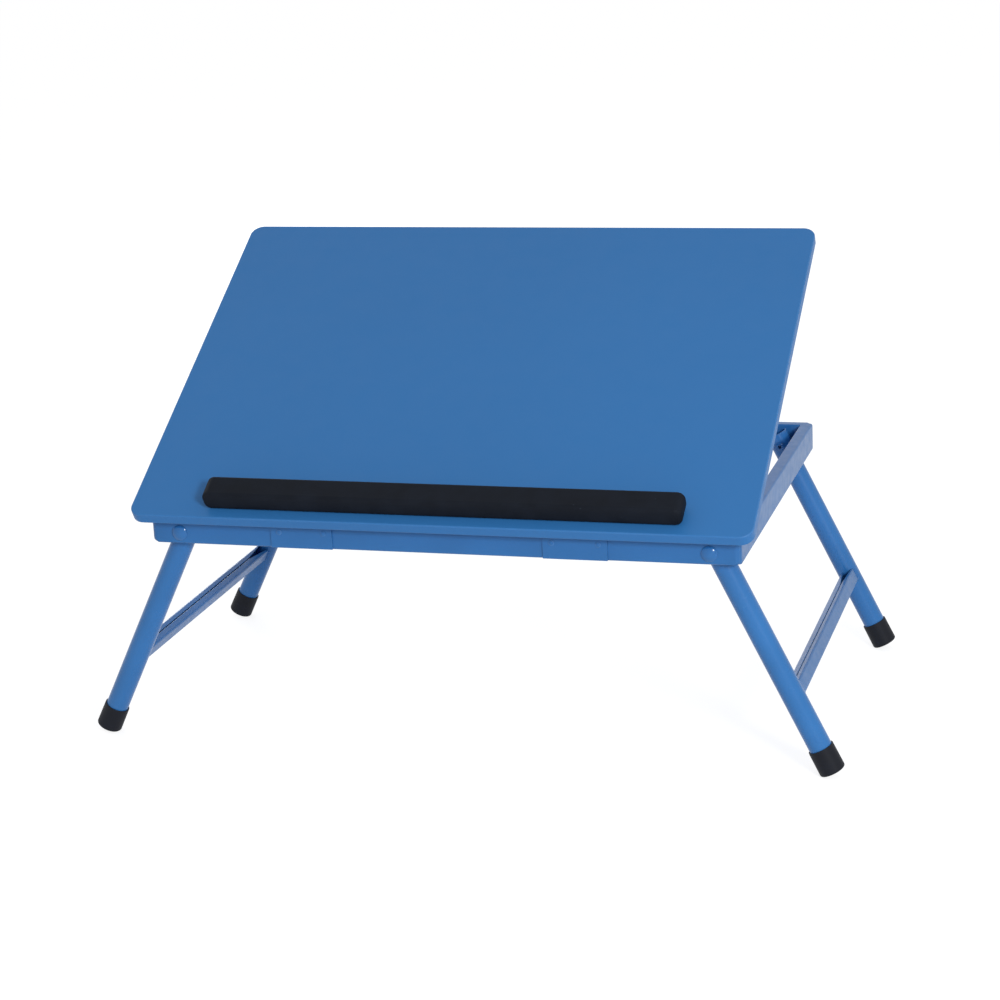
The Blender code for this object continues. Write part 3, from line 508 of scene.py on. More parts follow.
def grown(make_tree, source, finish, shape=None, **inputs):
    """Return the plain mesh that a tree makes from a source mesh and, for some trees, a shape."""
    if make_tree not in trees_made:
        trees_made[make_tree] = make_tree()
    tree = trees_made[make_tree]
    inputs["Material"] = material_of(finish)
    if shape:
        inputs["Shape"] = new_object("shape", shape)
    item = new_object("scratch", source)
    modifier = item.modifiers.new(tree.name, "NODES")
    modifier.node_group = tree
    for socket in tree.interface.items_tree:
        if socket.in_out == "INPUT" and socket.name in inputs:
            modifier[socket.identifier] = inputs[socket.name]
    mesh = evaluated(item)
    if shape:
        bpy.data.objects.remove(inputs["Shape"], do_unlink=True)
    return mesh


# Shapes

def new_object(name, data):
    """Return a new object that stands in the scene."""
    item = bpy.data.objects.new(name, data)
    bpy.context.scene.collection.objects.link(item)
    return item


def evaluated(item):
    """Return a temporary object's finished mesh, and remove the object."""
    graph = bpy.context.evaluated_depsgraph_get()
    graph.update()
    mesh = bpy.data.meshes.new_from_object(item.evaluated_get(graph))
    bpy.data.objects.remove(item, do_unlink=True)
    return mesh


def opened(mesh):
    """Return a bmesh that holds a mesh."""
    shape = bmesh.new()
    shape.from_mesh(mesh)
    return shape


def mesh_from(shape):
    """Return a mesh with what a bmesh holds, its faces turned outwards."""
    bmesh.ops.recalc_face_normals(shape, faces=shape.faces)
    mesh = bpy.data.meshes.new("shape")
    shape.to_mesh(mesh)
    shape.free()
    return mesh


def wire(points, closed=False):
    """Return a mesh of one line through points."""
    edges = [(index, index + 1) for index in range(len(points) - 1)]
    if closed:
        edges.append((len(points) - 1, 0))
    mesh = bpy.data.meshes.new("line")
    mesh.from_pydata(points, edges, [])
    return mesh


def places(spots):
    """Return a mesh of points, each with the axis that a piece stands on."""
    mesh = bpy.data.meshes.new("places")
    mesh.from_pydata([spot for spot, _ in spots], [], [])
    axis = mesh.attributes.new("axis", "FLOAT_VECTOR", "POINT")
    for item, (_, direction) in zip(axis.data, spots):
        item.vector = direction
    return mesh


def arc(centre, radius, start, end, steps):
    """Return points on a circle from one angle to another."""
    angles = [start + (end - start) * index / steps for index in range(steps + 1)]
    return [(centre[0] + radius * math.cos(a), centre[1] + radius * math.sin(a)) for a in angles]


def rounded_rectangle(width, depth, radius, steps):
    """Return the outline of a rectangle with rounded corners."""
    reach_x, reach_y = width / 2 - radius, depth / 2 - radius
    points = []
    for index, (side_x, side_y) in enumerate(((1, 1), (-1, 1), (-1, -1), (1, -1))):
        start = index * QUARTER_TURN
        points += arc((side_x * reach_x, side_y * reach_y), radius, start, start + QUARTER_TURN, steps)
    return points


def circle(radius, sides, centre=(0, 0)):
    """Return the outline of a round hole."""
    return arc(centre, radius, 0, 4 * QUARTER_TURN, sides)[:-1]


def plate(outlines, thickness):
    """Return a flat plate centred on the XY plane, from its outer outline and then its holes."""
    curve = bpy.data.curves.new("outline", "CURVE")
    curve.dimensions = "2D"
    curve.fill_mode = "BOTH"
    curve.extrude = thickness / 2
    for outline in outlines:
        spline = curve.splines.new("POLY")
        spline.points.add(len(outline) - 1)
        for point, (across, along) in zip(spline.points, outline):
            point.co = (across, along, 0, 1)
        spline.use_cyclic_u = True
    shape = opened(evaluated(new_object("outline", curve)))
    bmesh.ops.remove_doubles(shape, verts=shape.verts, dist=MERGE_DISTANCE)
    return mesh_from(shape)


def bevelled(shape, edges, radius, steps):
    """Return a mesh of a bmesh with some of its edges rounded."""
    bmesh.ops.bevel(shape, geom=edges, offset=radius, segments=steps, profile=0.5, affect="EDGES")
    return mesh_from(shape)


def round_rims(mesh, radius, steps, height, chosen=None):
    """Round the edges of a plate where its sides meet the face at a height."""
    shape = opened(mesh)
    rim = [
        edge for edge in shape.edges
        if all(abs(vert.co.z - height) < MERGE_DISTANCE for vert in edge.verts)
        and edge.calc_face_angle() > SHARP_ANGLE
        and (chosen is None or chosen((edge.verts[0].co + edge.verts[1].co) / 2))
    ]
    return bevelled(shape, rim, radius, steps)


def soft_plate(outlines, thickness, radius, steps):
    """Return a flat plate with the rims of both faces rounded."""
    mesh = plate(outlines, thickness)
    for face in (-1, 1):
        mesh = round_rims(mesh, radius, steps, face * thickness / 2)
    return mesh


def rods(runs, radius, sides=HOLE_SIDES):
    """Return one mesh of round rods, each from a start to an end point."""
    shape = bmesh.new()
    for start, end in runs:
        run = Vector(end) - Vector(start)
        turn = run.to_track_quat("Z", "Y").to_matrix().to_4x4()
        bmesh.ops.create_cone(
            shape, cap_ends=True, segments=sides, radius1=radius, radius2=radius,
            depth=run.length, matrix=Matrix.Translation(Vector(start) + run / 2) @ turn)
    return mesh_from(shape)


def outward_faces(mesh):
    """Return a mesh with its doubles merged and its faces turned outwards."""
    shape = opened(mesh)
    bmesh.ops.remove_doubles(shape, verts=shape.verts, dist=MERGE_DISTANCE / 10)
    return mesh_from(shape)


def cut(mesh, cutter):
    """Return a mesh with another cut out of it."""
    item, tool = new_object("scratch", outward_faces(mesh)), new_object("cutter", cutter)
    modifier = item.modifiers.new("cut", "BOOLEAN")
    modifier.object = tool
    modifier.solver = "EXACT"
    result = evaluated(item)
    bpy.data.objects.remove(tool, do_unlink=True)
    return result


def moved(mesh, matrix):
    """Return a copy of a mesh, moved."""
    copy = mesh.copy()
    copy.transform(matrix)
    return copy


def joined(meshes):
    """Return one mesh that holds several."""
    shape = bmesh.new()
    for mesh in meshes:
        shape.from_mesh(mesh)
    mesh = bpy.data.meshes.new("joined")
    shape.to_mesh(mesh)
    shape.free()
    return mesh


def turned(profile, sides, finish, spots=UPRIGHT, closed=False):
    """Return pieces turned from (radius, height) points, standing in their places."""
    line = wire([(radius - LATHE_CENTRE, -height, 0) for radius, height in profile], closed)
    return grown(turned_tree, places(spots), finish, line, Sides=sides)


def dome(radius, height, base, steps):
    """Return the profile of a domed head, from its crown down to its rim at a base height."""
    sphere = (radius ** 2 + height ** 2) / (2 * height)
    centre = (0, base + height - sphere)
    return [(0, base + height)] + arc(centre, sphere, QUARTER_TURN, math.acos(radius / sphere), steps)[1:]


def disc(radius, low, high, soft, inner=0):
    """Return the profile of a disc with softened edges, from its upper to its lower face."""
    return [
        (inner, high), (radius - soft, high), (radius, high - soft),
        (radius, low + soft), (radius - soft, low), (inner, low),
    ]


def add_piece(name, mesh, finish, body, nodes=()):
    """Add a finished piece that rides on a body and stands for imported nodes."""
    mesh = outward_faces(mesh)
    mesh.materials.clear()
    mesh.materials.append(material_of(finish))
    mesh.shade_smooth()
    mesh.set_sharp_from_angle(angle=SHARP_ANGLE)
    item = new_object("scratch", mesh)
    even = item.modifiers.new("even shading", "WEIGHTED_NORMAL")
    even.keep_sharp = True
    mesh = evaluated(item)
    mesh.name = name
    piece = new_object(name, mesh)
    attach(piece, body)
    if nodes:
        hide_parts(*nodes)
    return piece


# Board and stopper bar

def screw_spots(nodes):
    """Return where each screw enters the board's underside, in the board's own frame."""
    spots = []
    for node in nodes:
        spot = BOARD_PLACE.inverted() @ box_middle(node)
        spots.append(Vector((spot.x, spot.y, bpy.context.scene.table_board.underside)))
    return spots


def bored(mesh, spots, low, high, radius):
    """Return a mesh with holes along the board's height at some spots, between two heights."""
    runs = [((spot.x, spot.y, spot.z + low), (spot.x, spot.y, spot.z + high)) for spot in spots]
    return cut(mesh, rods(runs, radius + PLAY))


class TABLE_OT_board(bpy.types.Operator):
    """Build the board with its softened edges and its screw holes"""

    bl_idname = "table.board"
    bl_label = "Board"

    corner_steps = 20
    edge_steps = 5

    def execute(self, context):
        sizes, screws = context.scene.table_board, context.scene.table_fasteners
        outline = rounded_rectangle(sizes.width, sizes.depth, sizes.corner_radius, self.corner_steps)
        mesh = soft_plate([outline], sizes.thickness, sizes.edge_radius, self.edge_steps)
        middle = (0, sizes.depth / 2 - sizes.front, sizes.underside + sizes.thickness / 2)
        mesh.transform(Matrix.Translation(middle))
        pilots, holes = screw_spots(HINGE_SCREWS + BRACKET_SCREWS), screw_spots(STOPPER_SCREWS)
        for spots, depth, radius in (
            (pilots, screws.screw_length + PLAY, screws.screw_radius),
            (holes, 2 * sizes.thickness, screws.stopper_radius),
            (holes, screws.stopper_head_height + 2 * PLAY, screws.stopper_head),
        ):
            mesh = bored(mesh, spots, -depth, depth, radius)
        mesh.transform(BOARD_PLACE)
        add_piece("board_top", mesh, "satin_board_paint", "board", ["board"])
        return {"FINISHED"}


class TABLE_OT_stopper(bpy.types.Operator):
    """Build the soft-edged black stopper bar"""

    bl_idname = "table.stopper"
    bl_label = "Stopper bar"

    corner_steps = 12
    edge_steps = 8
    lift = 0.0001

    def execute(self, context):
        sizes, screws = context.scene.table_board, context.scene.table_fasteners
        height = sizes.bar_height - self.lift
        outline = rounded_rectangle(sizes.bar_length, height, sizes.bar_corner, self.corner_steps)
        mesh = soft_plate([outline], sizes.bar_depth, sizes.bar_edge, self.edge_steps)
        mesh.transform(STOOD_UP)
        along = sizes.bar_setback + sizes.bar_depth / 2 - sizes.front
        top = sizes.underside + sizes.thickness
        mesh.transform(Matrix.Translation((sizes.bar_shift, along, top + self.lift + height / 2)))
        reach = screws.stopper_reach + PLAY
        mesh = bored(mesh, screw_spots(STOPPER_SCREWS), 0, reach, screws.stopper_radius)
        mesh.transform(BOARD_PLACE)
        add_piece("stopper_bar_soft", mesh, "soft_bar_rubber", "board", ["stopper_bar"])
        return {"FINISHED"}


# Frame

def leg_rivet_spots():
    """Yield each leg's name, where its rivet meets the frame's face, and which way is outwards."""
    for end_name, end in ENDS.items():
        for side_name in SIDES:
            name = f"{end_name}_{side_name}_leg"
            middle = box_middle(name + "_rivet")
            face = FRAME_FRONT if end < 0 else FRAME_BACK
            yield name, Vector((middle.x, face, middle.z)), Vector((0, end, 0))


class TABLE_OT_rails(bpy.types.Operator):
    """Build the four rails of the welded frame, mitred at the dressed corners"""

    bl_idname = "table.rails"
    bl_label = "Frame rails"

    corner_steps = 8
    edge_steps = 4
    inner_corner = 0.0004
    inner_steps = 2
    corner_dressing = 0.0045
    leg_rivet_sides = 32
    rivet_face = 0.001
    rivet_grip = 0.0014
    tail_start = 0.0012
    tail_end = 0.0026

    def execute(self, context):
        sizes = context.scene.table_frame
        outer = rounded_rectangle(FRAME_WIDTH, FRAME_DEPTH, sizes.corner_radius, self.corner_steps)
        bore = (FRAME_WIDTH - 2 * RAIL_THICKNESS, FRAME_DEPTH - 2 * RAIL_THICKNESS)
        ring = plate([outer, rounded_rectangle(*bore, self.inner_corner, self.inner_steps)], RAIL_HEIGHT)
        reach_x, reach_y = (FRAME_WIDTH - RAIL_THICKNESS) / 2, (FRAME_DEPTH - RAIL_THICKNESS) / 2

        def outer_side(point):
            return abs(point.x) > reach_x or abs(point.y) > reach_y

        def inner_side(point):
            return not outer_side(point)

        for face in (-1, 1):
            for radius, chosen in ((sizes.edge_radius, outer_side), (sizes.inner_radius, inner_side)):
                ring = round_rims(ring, radius, self.edge_steps, face * RAIL_HEIGHT / 2, chosen)
        self.dress_corners(ring, sizes.corner_radius, sizes.edge_radius)
        ring.transform(Matrix.Translation((0, FRAME_MIDDLE, box_middle("front_rail").z)))
        ring = self.drilled(ring, context.scene.table_fasteners)
        rails = {
            "front_rail": (0, -1), "back_rail": (0, 1),
            "left_side_rail": (-1, 0), "right_side_rail": (1, 0),
        }
        for name, facing in rails.items():
            mesh = self.mitred(ring, Vector((*facing, 0)))
            add_piece(name + "_tube", mesh, "stoved_frame_paint", "frame", [name])
        return {"FINISHED"}

    def dress_corners(self, ring, radius, edge):
        """Round the ring's outer edges off further towards the middle of each corner."""
        reach = Vector((FRAME_WIDTH / 2 - radius, FRAME_DEPTH / 2 - radius))
        for vertex in ring.vertices:
            place = vertex.co
            out = Vector((abs(place.x) - reach.x, abs(place.y) - reach.y))
            drop = RAIL_HEIGHT / 2 - abs(place.z)
            inset = radius - out.length
            if min(out) > 0 and drop < edge + MERGE_DISTANCE and inset < edge + MERGE_DISTANCE:
                middle = math.sin(2 * math.atan2(out.y, out.x))
                grow = 1 + (self.corner_dressing / edge - 1) * middle
                out *= (radius - grow * inset) / out.length
                place.x = math.copysign(reach.x + out.x, place.x)
                place.y = math.copysign(reach.y + out.y, place.y)
                place.z = math.copysign(RAIL_HEIGHT / 2 - grow * drop, place.z)

    def drilled(self, ring, sizes):
        """Return the ring with holes for the leg rivets and the hinge rivets."""
        runs = []
        for _, spot, out in leg_rivet_spots():
            runs.append((spot - 2 * RAIL_THICKNESS * out, spot + RAIL_THICKNESS * out))
        ring = cut(ring, rods(runs, sizes.rivet_radius + PLAY, self.leg_rivet_sides))
        for radius, start, end in (
            (sizes.hinge_rivet, -self.rivet_face, self.rivet_grip),
            (sizes.hinge_rivet_head, self.tail_start, self.tail_end),
        ):
            runs = []
            for middle in map(box_middle, HINGE_RIVETS):
                ends = [(middle.x, FRAME_FRONT + depth, middle.z) for depth in (start, end)]
                runs.append(ends)
            ring = cut(ring, rods(runs, radius + PLAY))
        return ring

    def mitred(self, ring, facing):
        """Return the part of the ring that faces one way, cut at both mitres."""
        shape = opened(ring)
        along = Vector((-facing.y, facing.x, 0))
        for end in (-1, 1):
            way = facing + along * end
            corner = Vector((way.x * FRAME_WIDTH / 2, FRAME_MIDDLE + way.y * FRAME_DEPTH / 2, 0))
            across = (along * end - facing).normalized()
            parts = shape.verts[:] + shape.edges[:] + shape.faces[:]
            cut_parts = bmesh.ops.bisect_plane(
                shape, geom=parts, plane_co=corner, plane_no=across, clear_outer=True)["geom_cut"]
            rim = [part for part in cut_parts if isinstance(part, bmesh.types.BMEdge)]
            bmesh.ops.holes_fill(shape, edges=rim)
        return mesh_from(shape)


# Legs

def leg_place(side):
    """Return the place of a pair of legs, its height along the tubes and its pivots at zero."""
    pivot = box_middle(f"front_{'left' if side < 0 else 'right'}_leg_rivet")
    place = Matrix.Translation((pivot.x, FRAME_MIDDLE, pivot.z))
    return place @ Matrix.Rotation(-side * LEG_SPLAY, 4, "Y")


def leg_spread():
    """Return how far each leg stands from the middle of its pair."""
    return box_middle("back_left_leg").y - FRAME_MIDDLE


def add_to_legs(kind, suffix, finish, make):
    """Add a piece, newly made, on each of the four legs."""
    for side_name, side in SIDES.items():
        for end_name, end in ENDS.items():
            mesh = make()
            mesh.transform(leg_place(side) @ Matrix.Translation((0, end * leg_spread(), 0)))
            name = f"{end_name}_{side_name}_{kind}"
            add_piece(name + suffix, mesh, finish, side_name + "_legs", [name])


class TABLE_OT_legs(bpy.types.Operator):
    """Build the four leg tubes, open at the top"""

    bl_idname = "table.legs"
    bl_label = "Leg tubes"

    lip = 0.0003
    lip_steps = 3
    foot_sole = 0.0033
    bore_radius = 0.0033
    bore_sides = 32

    def execute(self, context):
        sizes = context.scene.table_frame
        outer, inner = sizes.leg_radius, sizes.leg_radius - sizes.leg_wall
        top, base, lip = sizes.leg_headroom, self.foot_sole - sizes.leg_reach, self.lip
        bore = rods([((0, -2 * outer, 0), (0, 2 * outer, 0))], self.bore_radius, self.bore_sides)
        profile = arc((outer - lip, top - lip), lip, 0, QUARTER_TURN, self.lip_steps)
        profile += arc((inner + lip, top - lip), lip, QUARTER_TURN, 2 * QUARTER_TURN, self.lip_steps)
        profile += [(inner, base), (outer, base)]

        # The leg tubes take the lighter leg paint: painted light, since the frame's own blue is the same.
        def tube():
            return cut(turned(profile, LEG_SIDES, "stoved_leg_paint", closed=True), bore)

        add_to_legs("leg", "_tube", "stoved_leg_paint", tube)
        return {"FINISHED"}


class TABLE_OT_feet(bpy.types.Operator):
    """Build the rubber caps on the legs"""

    bl_idname = "table.feet"
    bl_label = "Feet"

    flare = 0.0002
    lip = 0.0005
    lip_steps = 4
    edge_radius = 0.0022
    edge_steps = 6
    sole_thickness = 0.003
    play = 0.00005

    def execute(self, context):
        sizes = context.scene.table_frame
        sole = -sizes.leg_reach
        seat, rim = sole + self.sole_thickness, sole + sizes.foot_height
        inner, outer, lip = sizes.leg_radius + self.play, sizes.foot_radius, self.lip
        profile = [(0, seat), (inner, seat), (inner, rim - lip / 2)]
        profile += arc((outer - self.flare - lip, rim - lip), lip, QUARTER_TURN, 0, self.lip_steps)
        centre = (outer - self.edge_radius, sole + self.edge_radius)
        profile += arc(centre, self.edge_radius, 0, -QUARTER_TURN, self.edge_steps)
        profile += [(0, sole)]

        def cap():
            return turned(profile, LEG_SIDES, "hard_cap_rubber")

        add_to_legs("foot", "_cap", "hard_cap_rubber", cap)
        return {"FINISHED"}


class TABLE_OT_crossbars(bpy.types.Operator):
    """Build the slotted crossbars, opened towards the back legs, with their weld beads"""

    bl_idname = "table.crossbars"
    bl_label = "Crossbars"

    wall = 0.0012
    bend = 0.002
    bend_steps = 5
    lip_steps = 6
    slot_shift = 0.0009
    notch_length = 0.060
    notch_width = 0.0116
    end_inset = 0.004
    bead_radius = 0.0012
    bead_step = 0.0005
    bead_ripple = 0.25
    bead_sides = 10
    bead_steps = 10
    bead_seed = 5

    def section(self, size, slot, slot_middle):
        """Return the outline of the square section, its two lips turned in to the slot."""
        half, lip = size / 2, self.wall / 2
        reach = half - self.bend
        corners = ((-reach, reach), (-reach, -reach), (reach, -reach), (reach, reach))
        outer, inner = [], []
        for index, corner in enumerate(corners, 1):
            first, last = index * QUARTER_TURN, (index + 1) * QUARTER_TURN
            outer += arc(corner, self.bend, first, last, self.bend_steps)
            inner += arc(corner, self.bend - self.wall, first, last, self.bend_steps)
        near, far = slot_middle + slot / 2 + lip, slot_middle - slot / 2 - lip
        right = arc((near, half - lip), lip, QUARTER_TURN, 3 * QUARTER_TURN, self.lip_steps)
        left = arc((far, half - lip), lip, -QUARTER_TURN, QUARTER_TURN, self.lip_steps)
        return outer + right + inner[::-1] + left

    def notch(self, size, slot_middle, spread):
        """Return the wedge that opens the slot towards the back leg."""
        half = self.notch_width / 2
        corners = [(slot_middle, spread - self.notch_length), (half, spread), (-half, spread)]
        place = Matrix.Translation((0, 0, (size - self.wall) / 2))
        return moved(plate([corners], 2 * self.wall), place)

    def bead_path(self, size, shift, end, spread, radius):
        """Return the line of a weld round the crossbar's end, on the leg's surface."""
        half, steps = size / 2, self.bead_steps
        reach = half - self.bend
        flat = [reach * (2 * step / steps - 1) for step in range(steps + 1)]
        line = [(-half, z) for z in flat[:0:-1]]
        line += arc((-reach, -reach), self.bend, 2 * QUARTER_TURN, 3 * QUARTER_TURN, self.bend_steps)
        line += [(x, -half) for x in flat[1:-1]]
        line += arc((reach, -reach), self.bend, -QUARTER_TURN, 0, self.bend_steps)
        line += [(half, z) for z in flat[1:]]
        return [(x, end * (spread - math.sqrt(radius ** 2 - (x + shift) ** 2)), z) for x, z in line]

    def execute(self, context):
        sizes = context.scene.table_frame
        size, radius, spread = sizes.crossbar_size, sizes.leg_radius, leg_spread()
        reach = spread - self.end_inset
        finish = "stoved_frame_paint"
        for side_name, side in SIDES.items():
            name, body = side_name + "_crossbar", side_name + "_legs"
            shift, slot_middle = side * sizes.crossbar_shift, side * self.slot_shift
            place = leg_place(side) @ Matrix.Translation((shift, 0, -sizes.crossbar_drop))
            outline = self.section(size, sizes.crossbar_slot, slot_middle)
            section = wire([(x, -z, 0) for x, z in outline[::-1]], closed=True)
            mesh = grown(bar_tree, wire([(0, -reach, 0), (0, reach, 0)]), finish, section)
            legs = [((-shift, end * spread, -size), (-shift, end * spread, size)) for end in ENDS.values()]
            mesh = cut(mesh, rods(legs, radius, LEG_SIDES))
            mesh = cut(mesh, self.notch(size, slot_middle, spread))
            mesh.transform(place)
            add_piece(name + "_channel", mesh, finish, body, [name])
            beads = []
            for end in ENDS.values():
                line = wire(self.bead_path(size, shift, end, spread, radius))
                beads.append(grown(
                    bead_tree, line, finish, Radius=self.bead_radius, Step=self.bead_step,
                    Ripple=self.bead_ripple, Sides=self.bead_sides, Seed=side + 2 * end + self.bead_seed))
            mesh = joined(beads)
            mesh.transform(place)
            add_piece(name + "_welds", mesh, finish, body)
        return {"FINISHED"}


# Rivets, washers and screws

class TABLE_OT_leg_rivets(bpy.types.Operator):
    """Build the domed leg rivets with their hollow tails, and the washers"""

    bl_idname = "table.leg_rivets"
    bl_label = "Leg rivets and washers"

    sides = 40
    dome_steps = 10
    rim = 0.0004
    rim_steps = 4
    tail_top = -0.0364
    tail_radius = 0.0046
    tail_height = 0.0016
    tail_slant = 0.0008
    soft = 0.0003
    bore_radius = 0.0018
    bore_depth = 0.004
    washer_top = -0.0123
    washer_play = 0.0001
    washer_soft = 0.0002

    def execute(self, context):
        sizes = context.scene.table_fasteners
        shank, head, bore = sizes.rivet_radius, sizes.rivet_head, self.bore_radius
        top, tail = self.tail_top, self.tail_radius
        base = top - self.tail_height
        rim, soft = self.rim / 2, self.soft
        profile = dome(head, sizes.rivet_height - self.rim, PLAY + self.rim, self.dome_steps)[:-1]
        profile += arc((head - rim, PLAY + rim), rim, QUARTER_TURN / 2, -QUARTER_TURN, self.rim_steps)
        profile += [
            (shank, PLAY), (shank, top), (tail - soft, top), (tail, top - self.tail_height / 2),
            (tail - self.tail_slant, base + soft), (shank, base), (bore + soft, base),
            (bore, base + soft), (bore, base + self.bore_depth), (0, base + self.bore_depth),
        ]
        names = [name for name, _, _ in leg_rivet_spots()]
        spots = [(spot, out) for _, spot, out in leg_rivet_spots()]
        mesh = turned(profile, self.sides, "pressed_rivet_paint", spots)
        add_piece("leg_rivets", mesh, "pressed_rivet_paint", "frame", [name + "_rivet" for name in names])

        washer = box_size("front_left_leg_washer")
        outer, inner = washer.x / 2, shank + self.washer_play
        first, *others = disc(
            outer, self.washer_top - washer.y, self.washer_top, self.washer_soft, inner)
        profile = [*others, first]
        mesh = turned(profile, self.sides, "bright_zinc", spots, closed=True)
        add_piece("leg_washers", mesh, "bright_zinc", "frame", [name + "_washer" for name in names])
        return {"FINISHED"}


def cross_cut(mesh, face, half_length, half_width, depth):
    """Return a screw with a tapered cross recess in the face of its head."""
    for across, along in ((half_length, half_width), (half_width, half_length)):
        shape = bmesh.new()
        scale = Matrix.Diagonal((2 * across, 2 * along, 2 * depth, 1))
        bmesh.ops.create_cube(shape, size=1, matrix=Matrix.Translation((0, 0, face)) @ scale)
        for vert in shape.verts:
            if vert.co.z < face:
                vert.co.x *= RECESS_TAPER
                vert.co.y *= RECESS_TAPER
        mesh = cut(mesh, mesh_from(shape))
    return mesh


class TABLE_OT_screws(bpy.types.Operator):
    """Build the screws under the board and the rivets of the hinges"""

    bl_idname = "table.screws"
    bl_label = "Screws and hinge rivets"

    sides = 24
    tip_length = 0.002
    soft = 0.0002
    hinge_grip = 0.0018
    bracket_grip = 0.0026
    pan_steps = 8
    recess_share = 0.55
    recess_width = 0.0004
    recess_depth = 0.0007
    stopper_recess = (0.0021, 0.0005, 0.001)
    rivet_steps = 6
    rivet_seat = 0.0018
    tail_top = -0.0015
    tail_height = 0.0008

    def driven(self, name, nodes, profile, face, recess):
        """Add one group of cross-recessed screws, driven into the board from below."""
        screw = cross_cut(turned(profile, self.sides, "bright_zinc"), face, *recess)
        down = BOARD_PLACE.to_3x3() @ Vector((0, 0, -1))
        spots = [(BOARD_PLACE @ spot, down) for spot in screw_spots(nodes)]
        mesh = grown(placed_tree, places(spots), "bright_zinc", screw)
        add_piece(name, mesh, "bright_zinc", "board", nodes)

    def execute(self, context):
        sizes, soft = context.scene.table_fasteners, self.soft
        head, height, shank = sizes.screw_head, sizes.screw_head_height, sizes.screw_radius
        recess = (head * self.recess_share, self.recess_width, self.recess_depth)
        for name, nodes, grip in (
            ("hinge_screws", HINGE_SCREWS, self.hinge_grip),
            ("bracket_screws", BRACKET_SCREWS, self.bracket_grip),
        ):
            profile = dome(head, height - soft, grip + soft, self.pan_steps)
            profile += [(head, grip), (shank, grip), (shank, self.tip_length - sizes.screw_length)]
            profile += [(0, -sizes.screw_length)]
            self.driven(name, nodes, profile, grip + height, recess)

        head, shank, reach = sizes.stopper_head, sizes.stopper_radius, sizes.stopper_reach
        base = -PLAY
        profile = [
            (0, base), (head - soft, base), (head, base - soft),
            (shank, base - sizes.stopper_head_height), (shank, self.tip_length - reach), (0, -reach),
        ]
        self.driven("stopper_screws", STOPPER_SCREWS, profile, base, self.stopper_recess)

        head, shank, top = sizes.hinge_rivet_head, sizes.hinge_rivet, self.tail_top
        base = top - self.tail_height
        profile = dome(head, sizes.hinge_rivet_height, self.rivet_seat, self.rivet_steps)
        profile += [(shank, self.rivet_seat), *disc(head, base, top, soft, shank)[:-1], (0, base)]
        spots = []
        for middle in map(box_middle, HINGE_RIVETS):
            spots.append((Vector((middle.x, FRAME_FRONT, middle.z)), Vector((0, -1, 0))))
        mesh = turned(profile, self.sides, "stoved_frame_paint", spots)
        add_piece("hinge_rivets", mesh, "stoved_frame_paint", "frame", HINGE_RIVETS)
        return {"FINISHED"}


# Hinges

class TABLE_OT_hinges(bpy.types.Operator):
    """Build the two butt hinges with their interleaved knuckles and pins"""

    bl_idname = "table.hinges"
    bl_label = "Hinges"

    knuckles = 5
    pin_radius = 0.0012
    curl_steps = 24
    fixed_height = 0.0265
    moving_depth = 0.0255
    fastener_spacing = 0.044
    soft = 0.0003

    def leaf(self, depth, length, first, hole_setback, hole_radius):
        """Return a leaf along X with its plate towards -Y, cleared for the other's knuckles."""
        sizes = bpy.context.scene.table_fasteners
        radius = sizes.knuckle_radius
        base = radius - sizes.leaf_thickness
        start = 2 * QUARTER_TURN - math.asin(base / radius)
        outline = [(-depth, base + self.soft), (self.soft - depth, base)]
        outline += arc((0, 0), radius, start, 5 * QUARTER_TURN, self.curl_steps)
        outline += [(self.soft - depth, radius), (-depth, radius - self.soft)]
        mesh = plate([outline, circle(self.pin_radius + PLAY, self.curl_steps)], length)
        mesh.transform(Matrix.Rotation(QUARTER_TURN, 4, "Z") @ STOOD_UP)
        pitch = (length + PLAY) / self.knuckles
        starts = [index * pitch - length / 2 for index in range(first, self.knuckles, 2)]
        mesh = cut(mesh, rods([((x - PLAY, 0, 0), (x + pitch, 0, 0)) for x in starts], radius + PLAY))
        half = self.fastener_spacing / 2
        runs = [((x, -hole_setback, 0), (x, -hole_setback, 2 * radius)) for x in (-half, half)]
        return cut(mesh, rods(runs, hole_radius + PLAY))

    def execute(self, context):
        sizes, finish = context.scene.table_fasteners, "stoved_frame_paint"
        length = box_size("left_hinge_fixed_leaf").x
        rivet_drop = HINGE_AXIS.z - box_middle(HINGE_RIVETS[0]).z
        fixed = self.leaf(self.fixed_height, length, 1, rivet_drop, sizes.hinge_rivet)
        setback = screw_spots(HINGE_SCREWS)[0].y
        moving = self.leaf(self.moving_depth, length, 0, setback, sizes.screw_radius)
        pins = []
        for side_name in SIDES:
            name = side_name + "_hinge"
            offset = Vector((box_middle(name + "_fixed_leaf").x, 0, 0))
            mesh = moved(fixed, Matrix.Translation(HINGE_AXIS + offset) @ (TURNED_ROUND @ STOOD_UP))
            add_piece(name + "_fixed_leaf_plate", mesh, finish, "frame", [name + "_fixed_leaf"])
            mesh = moved(moving, BOARD_PLACE @ Matrix.Translation(offset) @ TURNED_ROUND)
            add_piece(name + "_moving_leaf_plate", mesh, finish, "board", [name + "_moving_leaf"])
            pins.append((HINGE_AXIS + offset, Vector((1, 0, 0))))
        profile = disc(self.pin_radius, -length / 2, length / 2, self.soft)
        mesh = turned(profile, self.curl_steps, "bright_zinc", pins)
        add_piece("hinge_pins", mesh, "bright_zinc", "frame", ["left_hinge_pin", "right_hinge_pin"])
        return {"FINISHED"}


# Stays

